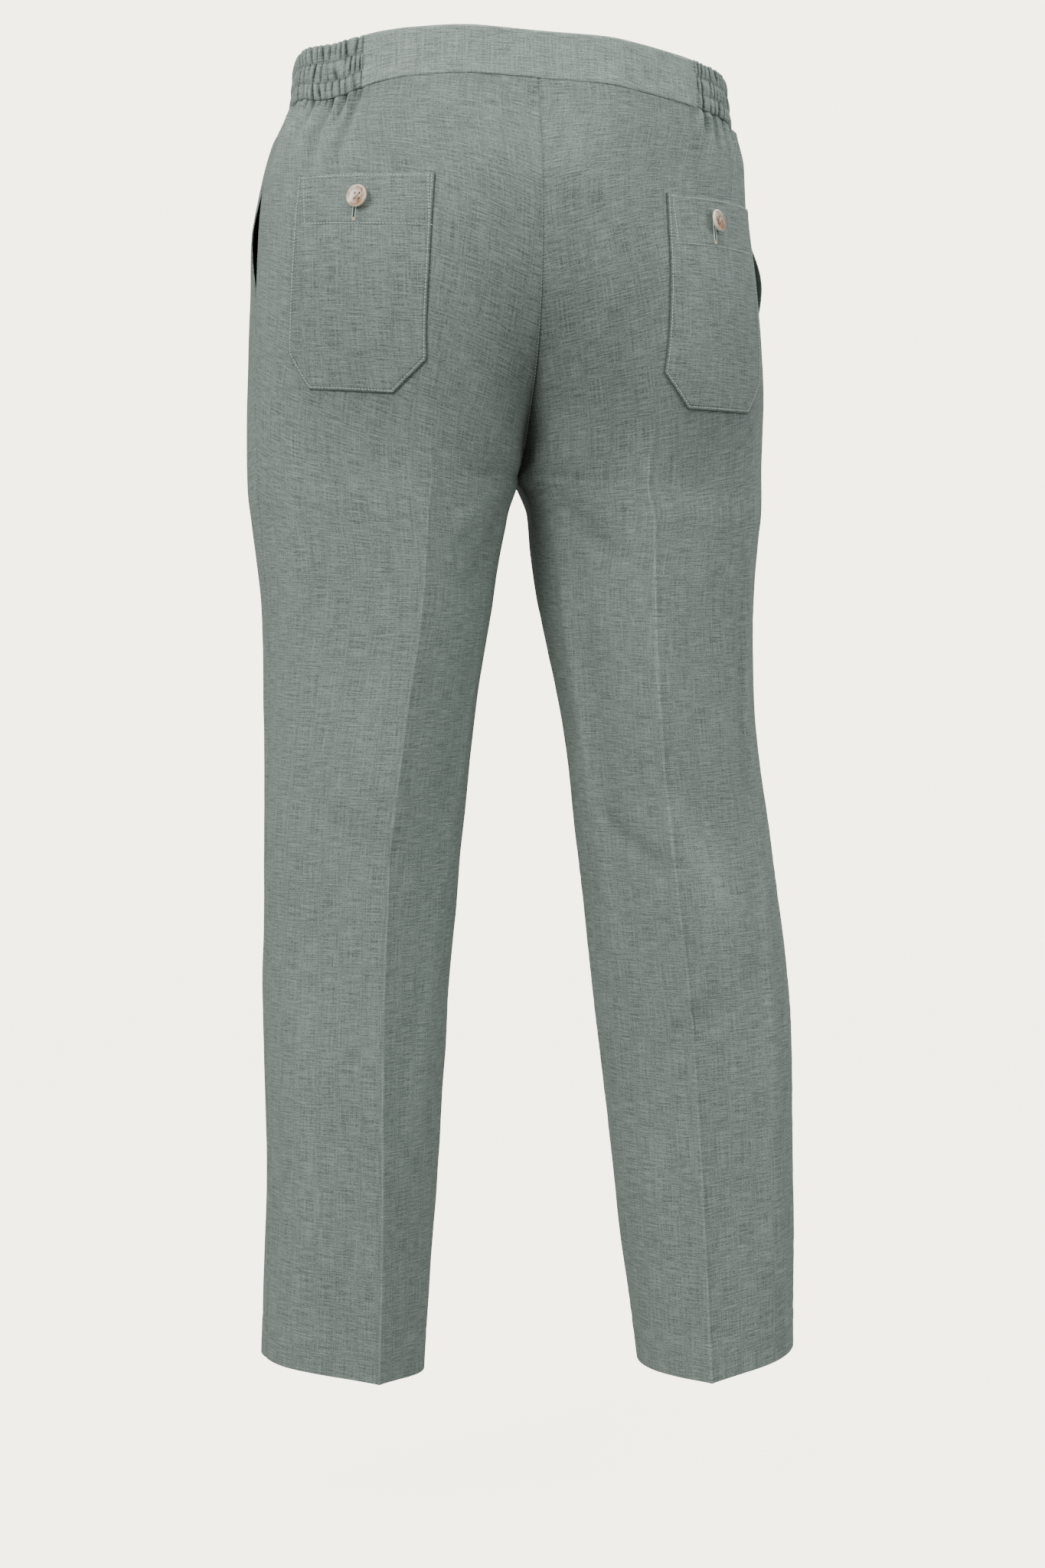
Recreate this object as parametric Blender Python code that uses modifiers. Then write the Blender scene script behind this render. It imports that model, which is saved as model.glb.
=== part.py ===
"""Linen drawstring trousers, worn: hollow, standing, with the waist and both hems open.

Metres, +Z up. The front faces -Y and the wearer's left is +X. The origin is the middle of the waist opening,
half way up the waistband, where the wearer holds the trousers up.

Every piece of cloth comes from one form, the leg panels' sections. A section is a closed outline at one level,
worked out from short tables: half of it is the front panel and half the back panel, and each of those is two
cubic Bezier quarters that meet at the pressed crease. A waistband, a pocket and a pocket bag take their points
from the same sections, moved out or in.
"""
import math
from collections import namedtuple

import bmesh
import bpy
import numpy as np
from mathutils import Matrix, Vector

# ---- driving dimensions ---------------------------------------------------------------------------------------
CLOTH = 0.0012            # wall of a leg panel
PATCH_CLOTH = 0.0010      # wall of a pocket
BAND_CLOTH = 0.0022       # wall of the waistband: two layers and what is between them
SEAM = 0.0003             # gap between two pieces at a seam
WAIST_GAP = 0.0012        # a panel ends this far under the waistband, because the seam between them is bowed
CUT_BACK = 0.001          # share of a quarter's parameter cut off a panel at its outseam and inseam

HEM = -1.014              # level of the hems
FORK = -0.300             # level of the crotch point, where the four panels meet
FORK_DEPTH = 0.022        # how far the crotch point is behind the origin
FORK_TURN = 0.100         # height under the fork over which the inseams turn towards it
FORK_CLOSE = 0.012        # height over which they come together there
BAND_FOOT = -0.020        # level of the waist seam
BAND_TOP = 0.018          # level of the top edge

WAIST_TILT = 0.30         # rise of the waist for each metre to the back
TILT_FOOT = -0.240        # level where that begins; it is whole at the waist seam
WAIST_ROLL = 0.060        # rise of the waist for each metre to the wearer's left
WAIST_DIP = {"left": 0.012, "right": 0.0}      # how far the waist seam sags on the elastic's back half
DIP_AT = 0.47             # where that is deepest, on the sections' parameter
DIP_WIDTH = 0.30
DIP_FOOT = -0.100
ROLL_FOOT = -0.540        # levels where that begins and where it is whole
ROLL_TOP = -0.190
HEM_ROLL = 0.11           # rise of a hem for each metre outwards from the leg's middle
HEM_TILT = {"left": 0.05, "right": 0.09}    # drop of a hem for each metre to the back
HEM_REACH = -0.740        # level up to which a hem's slope is felt

ELASTIC_BACK = 0.70       # where the elastic begins on the back, on the sections' parameter
ELASTIC_FRONT = 0.66      # where it ends on the front
PUCKERS = 15              # puckers along each elasticated side
PUCKER_HEIGHT = 0.0008
CHANNELS = 3              # rows of elastic

MOUTH_TOP = -0.075        # the side pocket's mouth, a stretch of the outseam left open, gapes between these
MOUTH_FOOT = -0.183
MOUTH_GAPE = 0.0036       # how far the front panel's edge stands off in the middle of it
MOUTH_REACH = 0.40        # how far round the panel that goes, on the sections' parameter

POCKET_LIFT = 0.0007      # a patch pocket lies this far off the panel
POCKET_TOP = -0.092
POCKET_SHOULDER = -0.215  # level where the lower corners are cut off
POCKET_FOOT = -0.241
POCKET_WIDTH = 0.110
CORNER_INNER = 0.028      # width of the cut corner on the seat seam's side
CORNER_OUTER = 0.020
POCKET_FROM_SEAM = {"left": 0.086, "right": 0.1105}      # inner edge's distance from the seat seam at the top
POCKET_SLANT = {"left": 0.0115, "right": -0.0095}        # how much more that is at the shoulder
POCKET_FLARE = 0.005      # how much wider a pocket lies at its shoulder
POCKET_RAISE = {"left": -0.0015, "right": 0.0005}        # how much higher each one sits
POCKET_RISE = {"left": 0.0045, "right": 0.010}           # how much higher again its top's outer corner is

BUTTON_RADIUS = 0.009
BUTTON_THICK = 0.0032
BUTTON_HOLE = 0.0009
BUTTON_HOLE_PITCH = 0.0019
BUTTON_FROM_SEAM = {"left": 0.1465, "right": 0.158}
BUTTON_LEVEL = -0.1093
BUTTON_LIFT = 0.0024      # off the panel: the pocket, and the thread under the button

BAG_INSET = 0.0038        # the side pocket's facing hangs this far inside the panels' outer face
BAG_BACK = 0.16           # its reach round the back and the front, on the sections' parameter
BAG_FRONT = 0.44
BAG_TOP = -0.0215
BAG_FOOT = -0.215

EYELET_OFF_CENTRE = 0.024
EYELET_SIZE = (0.0025, 0.014)   # width and height of the drawstring's worked eyelets

ARC = 0.5523              # handle length that makes a Bezier quarter round

# The cut, the same for both legs. At each level: the distances from the leg's line out to the outseam, in to the
# inseam, and to the creases at back and front; the crease's slope off flat, in degrees; and how far the section
# leans there, in degrees, where the hips are round.
Cut = namedtuple("Cut", "level out inn back front crease lean")
CUT = [
    Cut(-1.014, 0.066, 0.062, 0.080, 0.076, 40, 0),
    Cut(-0.888, 0.068, 0.066, 0.084, 0.078, 38, 0),
    Cut(-0.748, 0.073, 0.072, 0.089, 0.083, 35, 0),
    Cut(-0.608, 0.078, 0.077, 0.092, 0.090, 31, 0),
    Cut(-0.488, 0.085, 0.085, 0.098, 0.100, 26, 0),
    Cut(-0.388, 0.096, 0.096, 0.106, 0.112, 19, 0),
    Cut(-0.340, 0.1015, 0.102, 0.1105, 0.1175, 15, 1),
    Cut(-0.300, 0.106, 0.104, 0.114, 0.122, 12, 2),
    Cut(-0.228, 0.106, 0.104, 0.116, 0.126, 5, 8),
    Cut(-0.158, 0.102, 0.104, 0.106, 0.122, 0, 16),
    Cut(-0.088, 0.0948, 0.104, 0.086, 0.118, 0, 24),
    Cut(-0.050, 0.0862, 0.104, 0.077, 0.114, 0, 24),
    Cut(-0.020, 0.0745, 0.104, 0.071, 0.112, 0, 22),
    Cut(0.018, 0.072, 0.100, 0.070, 0.112, 0, 22),
]

# The pose. At each level: where the leg's line is, sideways from the middle and backwards; how many degrees the
# leg is turned out; and how full it is sideways.
Line = namedtuple("Line", "level x y turn fill")
LINES = {
    "left": [
        Line(-1.014, 0.139, 0.010, 8, 1.03),
        Line(-0.888, 0.133, 0.008, 5, 1.02),
        Line(-0.748, 0.128, 0.003, 2, 1.02),
        Line(-0.608, 0.121, 0.000, 1, 1.02),
        Line(-0.488, 0.113, -0.004, 4, 1.00),
        Line(-0.388, 0.106, -0.008, 7, 0.99),
        Line(-0.333, 0.106, -0.010, 8, 0.98),
        Line(-0.300, 0.102, -0.010, 7, 1.00),
        Line(-0.228, 0.102, -0.006, 4, 1.00),
        Line(-0.158, 0.104, 0.000, 2, 1.00),
        Line(-0.088, 0.106, 0.004, 0, 1.00),
        Line(-0.020, 0.1015, 0.008, 0, 1.00),
        Line(0.018, 0.100, 0.008, 0, 1.00),
    ],
    "right": [
        Line(-1.014, 0.159, 0.055, 18, 1.00),
        Line(-0.888, 0.154, 0.045, 17, 1.08),
        Line(-0.748, 0.149, 0.030, 17, 1.10),
        Line(-0.608, 0.137, 0.016, 17, 1.03),
        Line(-0.488, 0.125, 0.004, 15, 0.94),
        Line(-0.388, 0.117, -0.006, 12, 0.94),
        Line(-0.333, 0.115, -0.010, 11, 0.96),
        Line(-0.300, 0.108, -0.010, 10, 1.00),
        Line(-0.228, 0.107, -0.006, 6, 1.00),
        Line(-0.158, 0.105, 0.000, 2, 1.00),
        Line(-0.088, 0.102, 0.004, 0, 1.00),
        Line(-0.020, 0.1075, 0.008, 0, 1.00),
        Line(0.018, 0.105, 0.008, 0, 1.00),
    ],
}

# The rise, the seam in the middle. At each height above the fork: how far back it is on the seat and on the
# front, and the angle at which a panel reaches it, 90 where the seat is a deep fold and 0 where it is flat.
Rise = namedtuple("Rise", "above back front open")
RISE = [
    Rise(0.000, 0.022, 0.022, 90),
    Rise(0.004, 0.033, 0.006, 84),
    Rise(0.012, 0.045, -0.012, 76),
    Rise(0.028, 0.057, -0.036, 62),
    Rise(0.050, 0.071, -0.062, 44),
    Rise(0.080, 0.089, -0.088, 26),
    Rise(0.115, 0.103, -0.110, 10),
    Rise(0.150, 0.110, -0.122, 3),
    Rise(0.200, 0.112, -0.128, 0),
    Rise(0.280, 0.096, -0.124, 0),
    Rise(0.318, 0.093, -0.123, 0),
]

LEG_ROWS = 14             # rows of faces between hem and fork
HIP_ROWS = (0.004, 0.012, 0.026, 0.045, 0.070, 0.100, 0.130, 0.165, 0.205, 0.245)    # heights above the fork
QUARTER_COLUMNS = 5       # columns of faces between outseam and crease, and between crease and inseam

LINEN = (0.235, 0.277, 0.254)
LINEN_INSIDE = (0.20, 0.24, 0.22)
HORN = (0.56, 0.48, 0.42)


# ---- the form -------------------------------------------------------------------------------------------------
def smooth(rows, column, at):
    """One column of a table at the values AT, on a smooth curve through its rows that never overshoots them."""
    x = np.array([row[0] for row in rows], float)
    y = np.array([getattr(row, column) for row in rows], float)
    step = np.diff(y) / np.diff(x)
    before, after = step[:-1], step[1:]
    same_way = before * after > 0
    middle = np.where(same_way, 2*before*after / np.where(same_way, before + after, 1), 0)
    slope = np.concatenate([step[:1], middle, step[-1:]])
    at = np.clip(at, x[0], x[-1])
    i = np.clip(np.searchsorted(x, at) - 1, 0, len(x) - 2)
    width = x[i + 1] - x[i]
    t = (at - x[i]) / width
    return ((2*t**3 - 3*t**2 + 1)*y[i] + (t**3 - 2*t**2 + t)*width*slope[i]
            + (3*t**2 - 2*t**3)*y[i + 1] + (t**3 - t**2)*width*slope[i + 1])


def ease(value, start, end):
    """0 below START, 1 above END and a smooth step between."""
    share = np.clip((value - start) / (end - start), 0, 1)
    return share*share*(3 - 2*share)


def bezier(p0, p1, p2, p3, t):
    """A cubic Bezier curve at T."""
    return (1 - t)**3*p0 + 3*(1 - t)**2*t*p1 + 3*(1 - t)*t**2*p2 + t**3*p3


def section(side, face, level, t, gape):
    """Half of a leg's outline, as complex numbers: x to the wearer's left and y to the back.

    T runs from 0 at the outseam by way of 1 at the crease to 2 at the inseam, or at the rise above the fork.
    GAPE is how far the edge stands off at the side pocket's mouth.
    """
    cut = {name: smooth(CUT, name, level) for name in Cut._fields[1:]}
    line = {name: smooth(LINES[side], name, level) for name in Line._fields[1:]}
    facing = 1 if face == "back" else -1
    out = cut["out"]*line["fill"]
    depth = cut[face] / line["fill"]
    outward = np.exp(1j*np.radians(line["turn"]))
    backward = 1j*facing*outward
    middle = line["x"] + 1j*line["y"]

    outseam = middle + outward*out
    crease = middle + backward*depth
    slope_out = np.radians(cut["crease"] + cut["lean"])
    slope_in = np.radians(cut["crease"] - cut["lean"])
    to_outseam = outward*np.exp(-1j*facing*slope_out)
    to_inner = -outward*np.exp(1j*facing*slope_in)
    outer = bezier(outseam, outseam + backward*ARC*depth, crease + to_outseam*ARC*out, crease, np.minimum(t, 1))

    inseam = middle - outward*cut["inn"]*line["fill"]
    join = ease(level, FORK - FORK_TURN, FORK)
    meet = ease(level, FORK - FORK_CLOSE, FORK)
    low_end = inseam.real*(1 - meet) + 1j*(inseam.imag*(1 - join) + FORK_DEPTH*join)
    low_way = backward*(1 - join) + 1j*facing*join
    above = level - FORK
    high_end = 1j*smooth(RISE, face, above)
    opening = np.radians(smooth(RISE, "open", above))
    high_way = np.cos(opening) + 1j*facing*np.sin(opening)
    high_pull = np.abs(crease.imag - high_end.imag)*np.sin(opening) + crease.real*np.cos(opening)
    low_pull = depth*(1 - join) + np.abs(crease.imag - FORK_DEPTH)*join
    hips = above > 0
    end = np.where(hips, high_end, low_end)
    way = np.where(hips, high_way, low_way / np.abs(low_way))
    pull = np.where(hips, high_pull, low_pull)
    width = np.abs(crease.real - end.real)
    inner = bezier(crease, crease + to_inner*ARC*width, end + way*ARC*pull, end, np.maximum(t, 1) - 1)

    outline = np.where(t <= 1, outer, inner)
    up_mouth = np.clip((level - MOUTH_FOOT) / (MOUTH_TOP - MOUTH_FOOT), 0, 1)
    return outline + outward*gape*np.sin(math.pi*up_mouth)**2*np.clip(1 - t/MOUTH_REACH, 0, 1)**2


def surface(side, face, level, t, gape=0.0):
    """Points of a panel's outer face for every pair of LEVEL and T, as an array of rows."""
    level = np.asarray(level, float)
    t = np.asarray(t, float)
    level, t = np.broadcast_arrays(level.reshape(len(level), -1), t.reshape(-1, t.shape[-1]))
    outline = section(side, face, level, t, gape)
    x = outline.real + SEAM/2
    y = outline.imag
    line_x = smooth(LINES[side], "x", level)
    line_y = smooth(LINES[side], "y", level)
    low = 1 - ease(level, HEM, HEM_REACH)
    hips = ease(level, ROLL_FOOT, ROLL_TOP)
    waist = ease(level, TILT_FOOT, BAND_FOOT)
    hem = HEM_ROLL*(x - line_x) - HEM_TILT[side]*(y - line_y)
    if side == "right":
        x = -x
    round_back = t if face == "back" else -t
    dip = WAIST_DIP[side]*np.exp(-((round_back - DIP_AT) / DIP_WIDTH)**2)*ease(level, DIP_FOOT, BAND_FOOT)
    dip = dip*(1 - 0.5*ease(level, BAND_FOOT, BAND_TOP))
    z = level + low*hem + hips*WAIST_ROLL*x + waist*WAIST_TILT*y - dip
    return np.stack([x, y, z], axis=-1)


def normals(side, face, level, t, gape=0.0):
    """Outward unit normals of a panel, from the surface a little further along both ways."""
    nudge = 1e-4
    level = np.asarray(level, float).reshape(len(level), -1)
    t = np.asarray(t, float)
    along = surface(side, face, level, t + nudge, gape) - surface(side, face, level, t - nudge, gape)
    upward = surface(side, face, level + nudge, t, gape) - surface(side, face, level - nudge, t, gape)
    normal = np.cross(along, upward)
    if turned(side, face):
        normal = -normal
    return normal / np.linalg.norm(normal, axis=-1, keepdims=True)


def turned(side, face):
    """Whether a panel's rows and columns run so that its outer face would point in."""
    return (side == "right") != (face == "front")


def across(side, level, distance):
    """The back panel's parameter at a distance along the cloth from the seat seam, for arrays of both."""
    t = np.linspace(0, 2, 241)
    rows = []
    for one_level, row in zip(level, distance, strict=True):
        points = surface(side, "back", [one_level], t)[0]
        steps = np.linalg.norm(np.diff(points, axis=0), axis=1)
        from_seam = np.concatenate([np.cumsum(steps[::-1])[::-1], [0]])
        rows.append(np.interp(row, from_seam[::-1], t[::-1]))
    return np.array(rows)


# ---- making objects -------------------------------------------------------------------------------------------
def clear_scene():
    for existing in list(bpy.data.objects):
        bpy.data.objects.remove(existing, do_unlink=True)


def new_collection(name):
    collection = bpy.data.collections.new(name)
    bpy.context.scene.collection.children.link(collection)
    return collection


def material(name, colour, roughness):
    made = bpy.data.materials.new(name)
    made.use_nodes = True
    shader = made.node_tree.nodes["Principled BSDF"]
    shader.inputs["Base Color"].default_value = (*colour, 1)
    shader.inputs["Roughness"].default_value = roughness
    shader.inputs["Metallic"].default_value = 0
    return made


def cloth(collection, name, outer, inner, flip, finish):
    """A wall of cloth lofted between two sheets of points, closed round its four edges.

    The inner sheet is worked out from the form and not by Solidify, so that neighbouring panels, which share the
    form's normals along a seam, stay parallel there and never cut into each other at the crotch. Both sheets are
    split into triangles along the same diagonals, which keeps the wall even.
    """
    rows, columns = outer.shape[:2]
    count = rows*columns
    index = np.arange(count).reshape(rows, columns)
    here, beside, corner, above = index[:-1, :-1], index[:-1, 1:], index[1:, 1:], index[1:, :-1]
    sheet = np.concatenate([
        np.stack([here, beside, corner], axis=-1).reshape(-1, 3),
        np.stack([here, corner, above], axis=-1).reshape(-1, 3)])
    edge = np.concatenate([index[0, :-1], index[:-1, -1], index[-1, :0:-1], index[:0:-1, 0]])
    after = np.roll(edge, -1)
    rim = np.stack([after, edge, edge + count, after + count], axis=-1)
    walls = [sheet, sheet[:, ::-1] + count, rim]
    if flip:
        walls = [faces[:, ::-1] for faces in walls]
    points = np.concatenate([outer.reshape(-1, 3), inner.reshape(-1, 3)])
    mesh = bpy.data.meshes.new(name)
    mesh.from_pydata(points.tolist(), [], [face for faces in walls for face in faces.tolist()])
    mesh.materials.append(finish)
    mesh.shade_smooth()
    mesh.set_sharp_from_angle(angle=math.radians(40))
    piece = bpy.data.objects.new(name, mesh)
    collection.objects.link(piece)
    return piece


def columns_of(start, end):
    """Parameters from START to END with a column on the crease where it lies between."""
    if start < 1 < end:
        first = np.linspace(start, 1, QUARTER_COLUMNS + 1)
        return np.concatenate([first, np.linspace(1, end, QUARTER_COLUMNS + 1)[1:]])
    return np.linspace(start, end, QUARTER_COLUMNS + 1)


# ---- pieces ---------------------------------------------------------------------------------------------------
def leg_panel(collection, side, face, finish):
    """One of the four leg panels, from its hem to the waist seam."""
    top = BAND_FOOT - WAIST_GAP
    level = np.concatenate([np.linspace(HEM, FORK, LEG_ROWS + 1), FORK + np.array(HIP_ROWS), [top]])
    t = columns_of(CUT_BACK, 2 - CUT_BACK)
    gape = MOUTH_GAPE if face == "front" else 0
    outer = surface(side, face, level, t, gape)
    inner = outer - CLOTH*normals(side, face, level, t, gape)
    return cloth(collection, f"{face}_{side}", outer, inner, turned(side, face), finish)


def both_sides(left, right):
    """Joins the left half's columns to the right half's through one column in the middle."""
    middle = (left[:, -1:] + right[:, -1:]) / 2
    return np.concatenate([left[:, :-1], middle, right[:, -2::-1]], axis=1)


def flat_band(collection, face, finish):
    """The flat stretch of the waistband on the back or the front, one piece through the middle."""
    start = ELASTIC_BACK if face == "back" else ELASTIC_FRONT
    level = np.linspace(BAND_FOOT + SEAM/2, BAND_TOP, 3)
    t = columns_of(start + CUT_BACK, 2)
    outer = both_sides(*(surface(side, face, level, t) for side in ("left", "right")))
    outward = both_sides(*(normals(side, face, level, t) for side in ("left", "right")))
    inner = outer - BAND_CLOTH*outward
    return cloth(collection, f"waistband_{face}", outer, inner, face == "front", finish)


def elastic_band(collection, side, finish):
    """An elasticated side of the waistband: fine upright puckers in three rows, each row on its own beat."""
    per_pucker = 3
    steps = PUCKERS*per_pucker
    reach = np.linspace(-ELASTIC_BACK + CUT_BACK, ELASTIC_FRONT - CUT_BACK, steps + 1)
    level = np.linspace(BAND_FOOT + SEAM/2, BAND_TOP, 2*CHANNELS + 1)
    back, front = reach[reach < 0], reach[reach >= 0]
    points = np.concatenate(
        [surface(side, "back", level, -back), surface(side, "front", level, front)], axis=1)
    outward = np.concatenate(
        [normals(side, "back", level, -back), normals(side, "front", level, front)], axis=1)
    row = np.arange(len(level))[:, None]
    beat = 2*math.pi*(np.arange(steps + 1)[None, :] / per_pucker + 0.3*(row // 2))
    swell = np.where(row % 2 == 1, 1.0, 0.35)
    outer = points + outward*(PUCKER_HEIGHT*swell*np.sin(beat))[..., None]
    inner = points - BAND_CLOTH*outward
    return cloth(collection, f"waistband_side_{side}", outer, inner, side == "left", finish)


def pocket_level(side, level, outward):
    """Where a level of a back pocket lies on its panel. OUTWARD runs from 0 at its inner edge to 1 at its outer."""
    up = np.clip((level - POCKET_SHOULDER) / (POCKET_TOP - POCKET_SHOULDER), 0, 1)
    return level + POCKET_RAISE[side] + POCKET_RISE[side]*up*outward


def patch_pocket(collection, side, finish):
    """A back pocket: a rectangle with its two lower corners cut off, laid on the panel."""
    level = np.concatenate([
        np.linspace(POCKET_FOOT, POCKET_SHOULDER, 3)[:-1],
        np.linspace(POCKET_SHOULDER, POCKET_TOP, 7)])
    cut_off = np.clip((POCKET_SHOULDER - level) / (POCKET_SHOULDER - POCKET_FOOT), 0, 1)
    lean = POCKET_SLANT[side]*(POCKET_TOP - level) / (POCKET_TOP - POCKET_SHOULDER)
    inner = POCKET_FROM_SEAM[side] + lean + CORNER_INNER*cut_off
    down = (POCKET_TOP - level) / (POCKET_TOP - POCKET_SHOULDER)
    outer = POCKET_FROM_SEAM[side] + lean + POCKET_WIDTH + POCKET_FLARE*down - CORNER_OUTER*cut_off
    share = np.linspace(0, 1, 9)[None, :]
    distance = outer[:, None]*(1 - share) + inner[:, None]*share
    t = across(side, level, distance)
    level = pocket_level(side, level[:, None], 1 - share)
    outward = normals(side, "back", level, t)
    inner = surface(side, "back", level, t) + POCKET_LIFT*outward
    return cloth(
        collection, f"pocket_back_{side}", inner + PATCH_CLOTH*outward, inner, turned(side, "back"), finish)


def button_profile():
    """Half of a button's outline, from the axis round the rim: a dished face inside a raised rim."""
    half = BUTTON_THICK / 2
    outline = [
        (0, -half), (BUTTON_RADIUS*0.70, -half), (BUTTON_RADIUS, -half*0.1), (BUTTON_RADIUS, half*0.35),
        (BUTTON_RADIUS*0.90, half), (BUTTON_RADIUS*0.74, half*0.9), (BUTTON_RADIUS*0.60, half*0.35), (0, half*0.3)]
    mesh = bpy.data.meshes.new("button_profile")
    mesh.from_pydata([(r, 0, z) for r, z in outline], [(i, i + 1) for i in range(len(outline) - 1)], [])
    return mesh


def button(collection, cutters, side, finish):
    """A four-hole button, fastened over the pocket's hem."""
    outward = (BUTTON_FROM_SEAM[side] - POCKET_FROM_SEAM[side]) / POCKET_WIDTH
    level = np.array([pocket_level(side, BUTTON_LEVEL, outward)])
    t = across(side, level, [[BUTTON_FROM_SEAM[side]]])
    outward = Vector(normals(side, "back", level, t)[0, 0])
    seat = Vector(surface(side, "back", level, t)[0, 0]) + outward*(BUTTON_LIFT + BUTTON_THICK/2)
    piece = bpy.data.objects.new(f"button_{side}", button_profile())
    collection.objects.link(piece)
    piece.data.materials.append(finish)
    turn = piece.modifiers.new("turn", "SCREW")
    turn.steps = turn.render_steps = 20
    turn.use_merge_vertices = True
    turn.merge_threshold = 1e-5
    turn.use_normal_calculate = True
    upright = Vector((0, 0, 1))
    sideways = upright.cross(outward).normalized()
    frame = Matrix((sideways, outward.cross(sideways), outward)).transposed()
    piece.matrix_world = Matrix.Translation(seat) @ frame.to_4x4()
    mesh = bpy.data.meshes.new(f"holes_{side}")
    shape = bmesh.new()
    for x in (-BUTTON_HOLE_PITCH, BUTTON_HOLE_PITCH):
        for y in (-BUTTON_HOLE_PITCH, BUTTON_HOLE_PITCH):
            bmesh.ops.create_cone(
                shape, cap_ends=True, segments=8, radius1=BUTTON_HOLE, radius2=BUTTON_HOLE, depth=4*BUTTON_THICK,
                matrix=Matrix.Translation((x, y, 0)))
    shape.to_mesh(mesh)
    shape.free()
    holes = cutter(cutters, mesh)
    holes.matrix_world = piece.matrix_world
    cut_with(piece, holes)
    return piece


def cutter(cutters, mesh):
    guide = bpy.data.objects.new(mesh.name, mesh)
    cutters.objects.link(guide)
    guide.hide_render = True
    guide.display_type = "WIRE"
    return guide


def cut_with(piece, guide):
    cut = piece.modifiers.new("cut", "BOOLEAN")
    cut.operation = "DIFFERENCE"
    cut.solver = "EXACT"
    cut.object = guide


def eyelets(cutters, band):
    """Cuts the drawstring's two upright slits through the front of the waistband."""
    width, height = EYELET_SIZE
    level = (BAND_FOOT + BAND_TOP) / 2
    seat = surface("left", "front", [level], [1.9])[0, 0]
    mesh = bpy.data.meshes.new("slits")
    shape = bmesh.new()
    for x in (-EYELET_OFF_CENTRE, EYELET_OFF_CENTRE):
        place = Matrix.Translation((x, seat[1], seat[2])) @ Matrix.Diagonal((width, 0.03, height, 1))
        bmesh.ops.create_cube(shape, size=1, matrix=place)
    shape.to_mesh(mesh)
    shape.free()
    cut_with(band, cutter(cutters, mesh))


def side_pocket(collection, side, finish):
    """The facing that hangs inside the side pocket's mouth, round from the back panel to the front one."""
    level = np.linspace(BAG_FOOT, BAG_TOP, 7)
    back = np.linspace(BAG_BACK, 0.04, 3)
    front = np.linspace(0, BAG_FRONT, 7)
    outward = np.concatenate(
        [normals(side, "back", level, back), normals(side, "front", level, front)], axis=1)
    outer = np.concatenate(
        [surface(side, "back", level, back), surface(side, "front", level, front)], axis=1) - BAG_INSET*outward
    return cloth(
        collection, f"side_pocket_{side}", outer, outer - PATCH_CLOTH*outward, side == "left", finish)


def main():
    clear_scene()
    trousers = new_collection("linen_drawstring_trousers")
    cutters = new_collection("cutters")
    linen = material("linen", LINEN, 0.92)
    linen_inside = material("linen_inside", LINEN_INSIDE, 0.92)
    horn = material("horn", HORN, 0.35)
    for side in ("left", "right"):
        for face in ("back", "front"):
            leg_panel(trousers, side, face, linen)
        elastic_band(trousers, side, linen)
        patch_pocket(trousers, side, linen)
        side_pocket(trousers, side, linen_inside)
        button(trousers, cutters, side, horn)
    flat_band(trousers, "back", linen)
    eyelets(cutters, flat_band(trousers, "front", linen))


main()
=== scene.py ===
"""Linen drawstring trousers: the cloth, its folds and gathers, the stitching, the buttons and the studio.

Metres, +Z up. The front faces -Y and the wearer's left is +X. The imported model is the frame: every piece
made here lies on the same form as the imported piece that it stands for, worked out from the same short tables.
It is then raised and lowered a little along its normals, where the cloth creases, gathers or is sewn.

Two kinds of place are used throughout. LEVEL is a height before the waist's and the hems' slopes are added. A
distance is measured along the cloth, from a seam or from the pressed crease.
"""

import math
from collections import namedtuple

import bpy
import numpy as np
from mathutils import Matrix, Vector


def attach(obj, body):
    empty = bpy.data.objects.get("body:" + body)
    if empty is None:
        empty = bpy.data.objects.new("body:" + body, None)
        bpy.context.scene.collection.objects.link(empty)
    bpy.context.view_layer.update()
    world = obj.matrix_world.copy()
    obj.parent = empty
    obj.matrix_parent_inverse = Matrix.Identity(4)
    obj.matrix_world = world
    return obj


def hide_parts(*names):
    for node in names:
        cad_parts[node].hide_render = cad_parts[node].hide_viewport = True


bl_info = {
    "name": "Linen drawstring trousers",
    "version": (1, 0, 0),
    "blender": (4, 5, 0),
    "location": "3D View > Sidebar > Trousers",
    "description": "Builds the cloth, stitching and buttons of a pair of linen trousers on their packed form",
    "category": "Object",
}

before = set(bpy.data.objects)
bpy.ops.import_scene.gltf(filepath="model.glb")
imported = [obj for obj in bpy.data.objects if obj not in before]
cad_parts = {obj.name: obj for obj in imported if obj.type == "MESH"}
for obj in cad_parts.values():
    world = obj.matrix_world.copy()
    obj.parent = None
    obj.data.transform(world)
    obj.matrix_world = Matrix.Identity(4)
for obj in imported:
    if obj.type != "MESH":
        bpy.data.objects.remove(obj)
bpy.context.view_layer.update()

# ---- the form's dimensions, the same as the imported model's ---------------------------------------
SIDES = ("left", "right")
FACES = ("back", "front")
SEAM = 0.0001             # gap between two panels at a seam
HEM = -1.014              # level of the hems
FORK = -0.300             # level of the crotch point, where the four panels meet
FORK_DEPTH = 0.022        # how far the crotch point is behind the origin
FORK_TURN = 0.100         # height under the fork over which the inseams turn towards it
FORK_CLOSE = 0.012        # height over which they come together there
BAND_FOOT = -0.020        # level of the waist seam
BAND_TOP = 0.018          # level of the waistband's top edge
BAND_HEIGHT = BAND_TOP - BAND_FOOT
WAIST_TILT = 0.30         # rise of the waist for each metre to the back
TILT_FOOT = -0.240        # level where that begins; it is whole at the waist seam
WAIST_ROLL = 0.060        # rise of the waist for each metre to the wearer's left
ROLL_FOOT = -0.540        # levels where that begins and where it is whole
ROLL_TOP = -0.190
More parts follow.
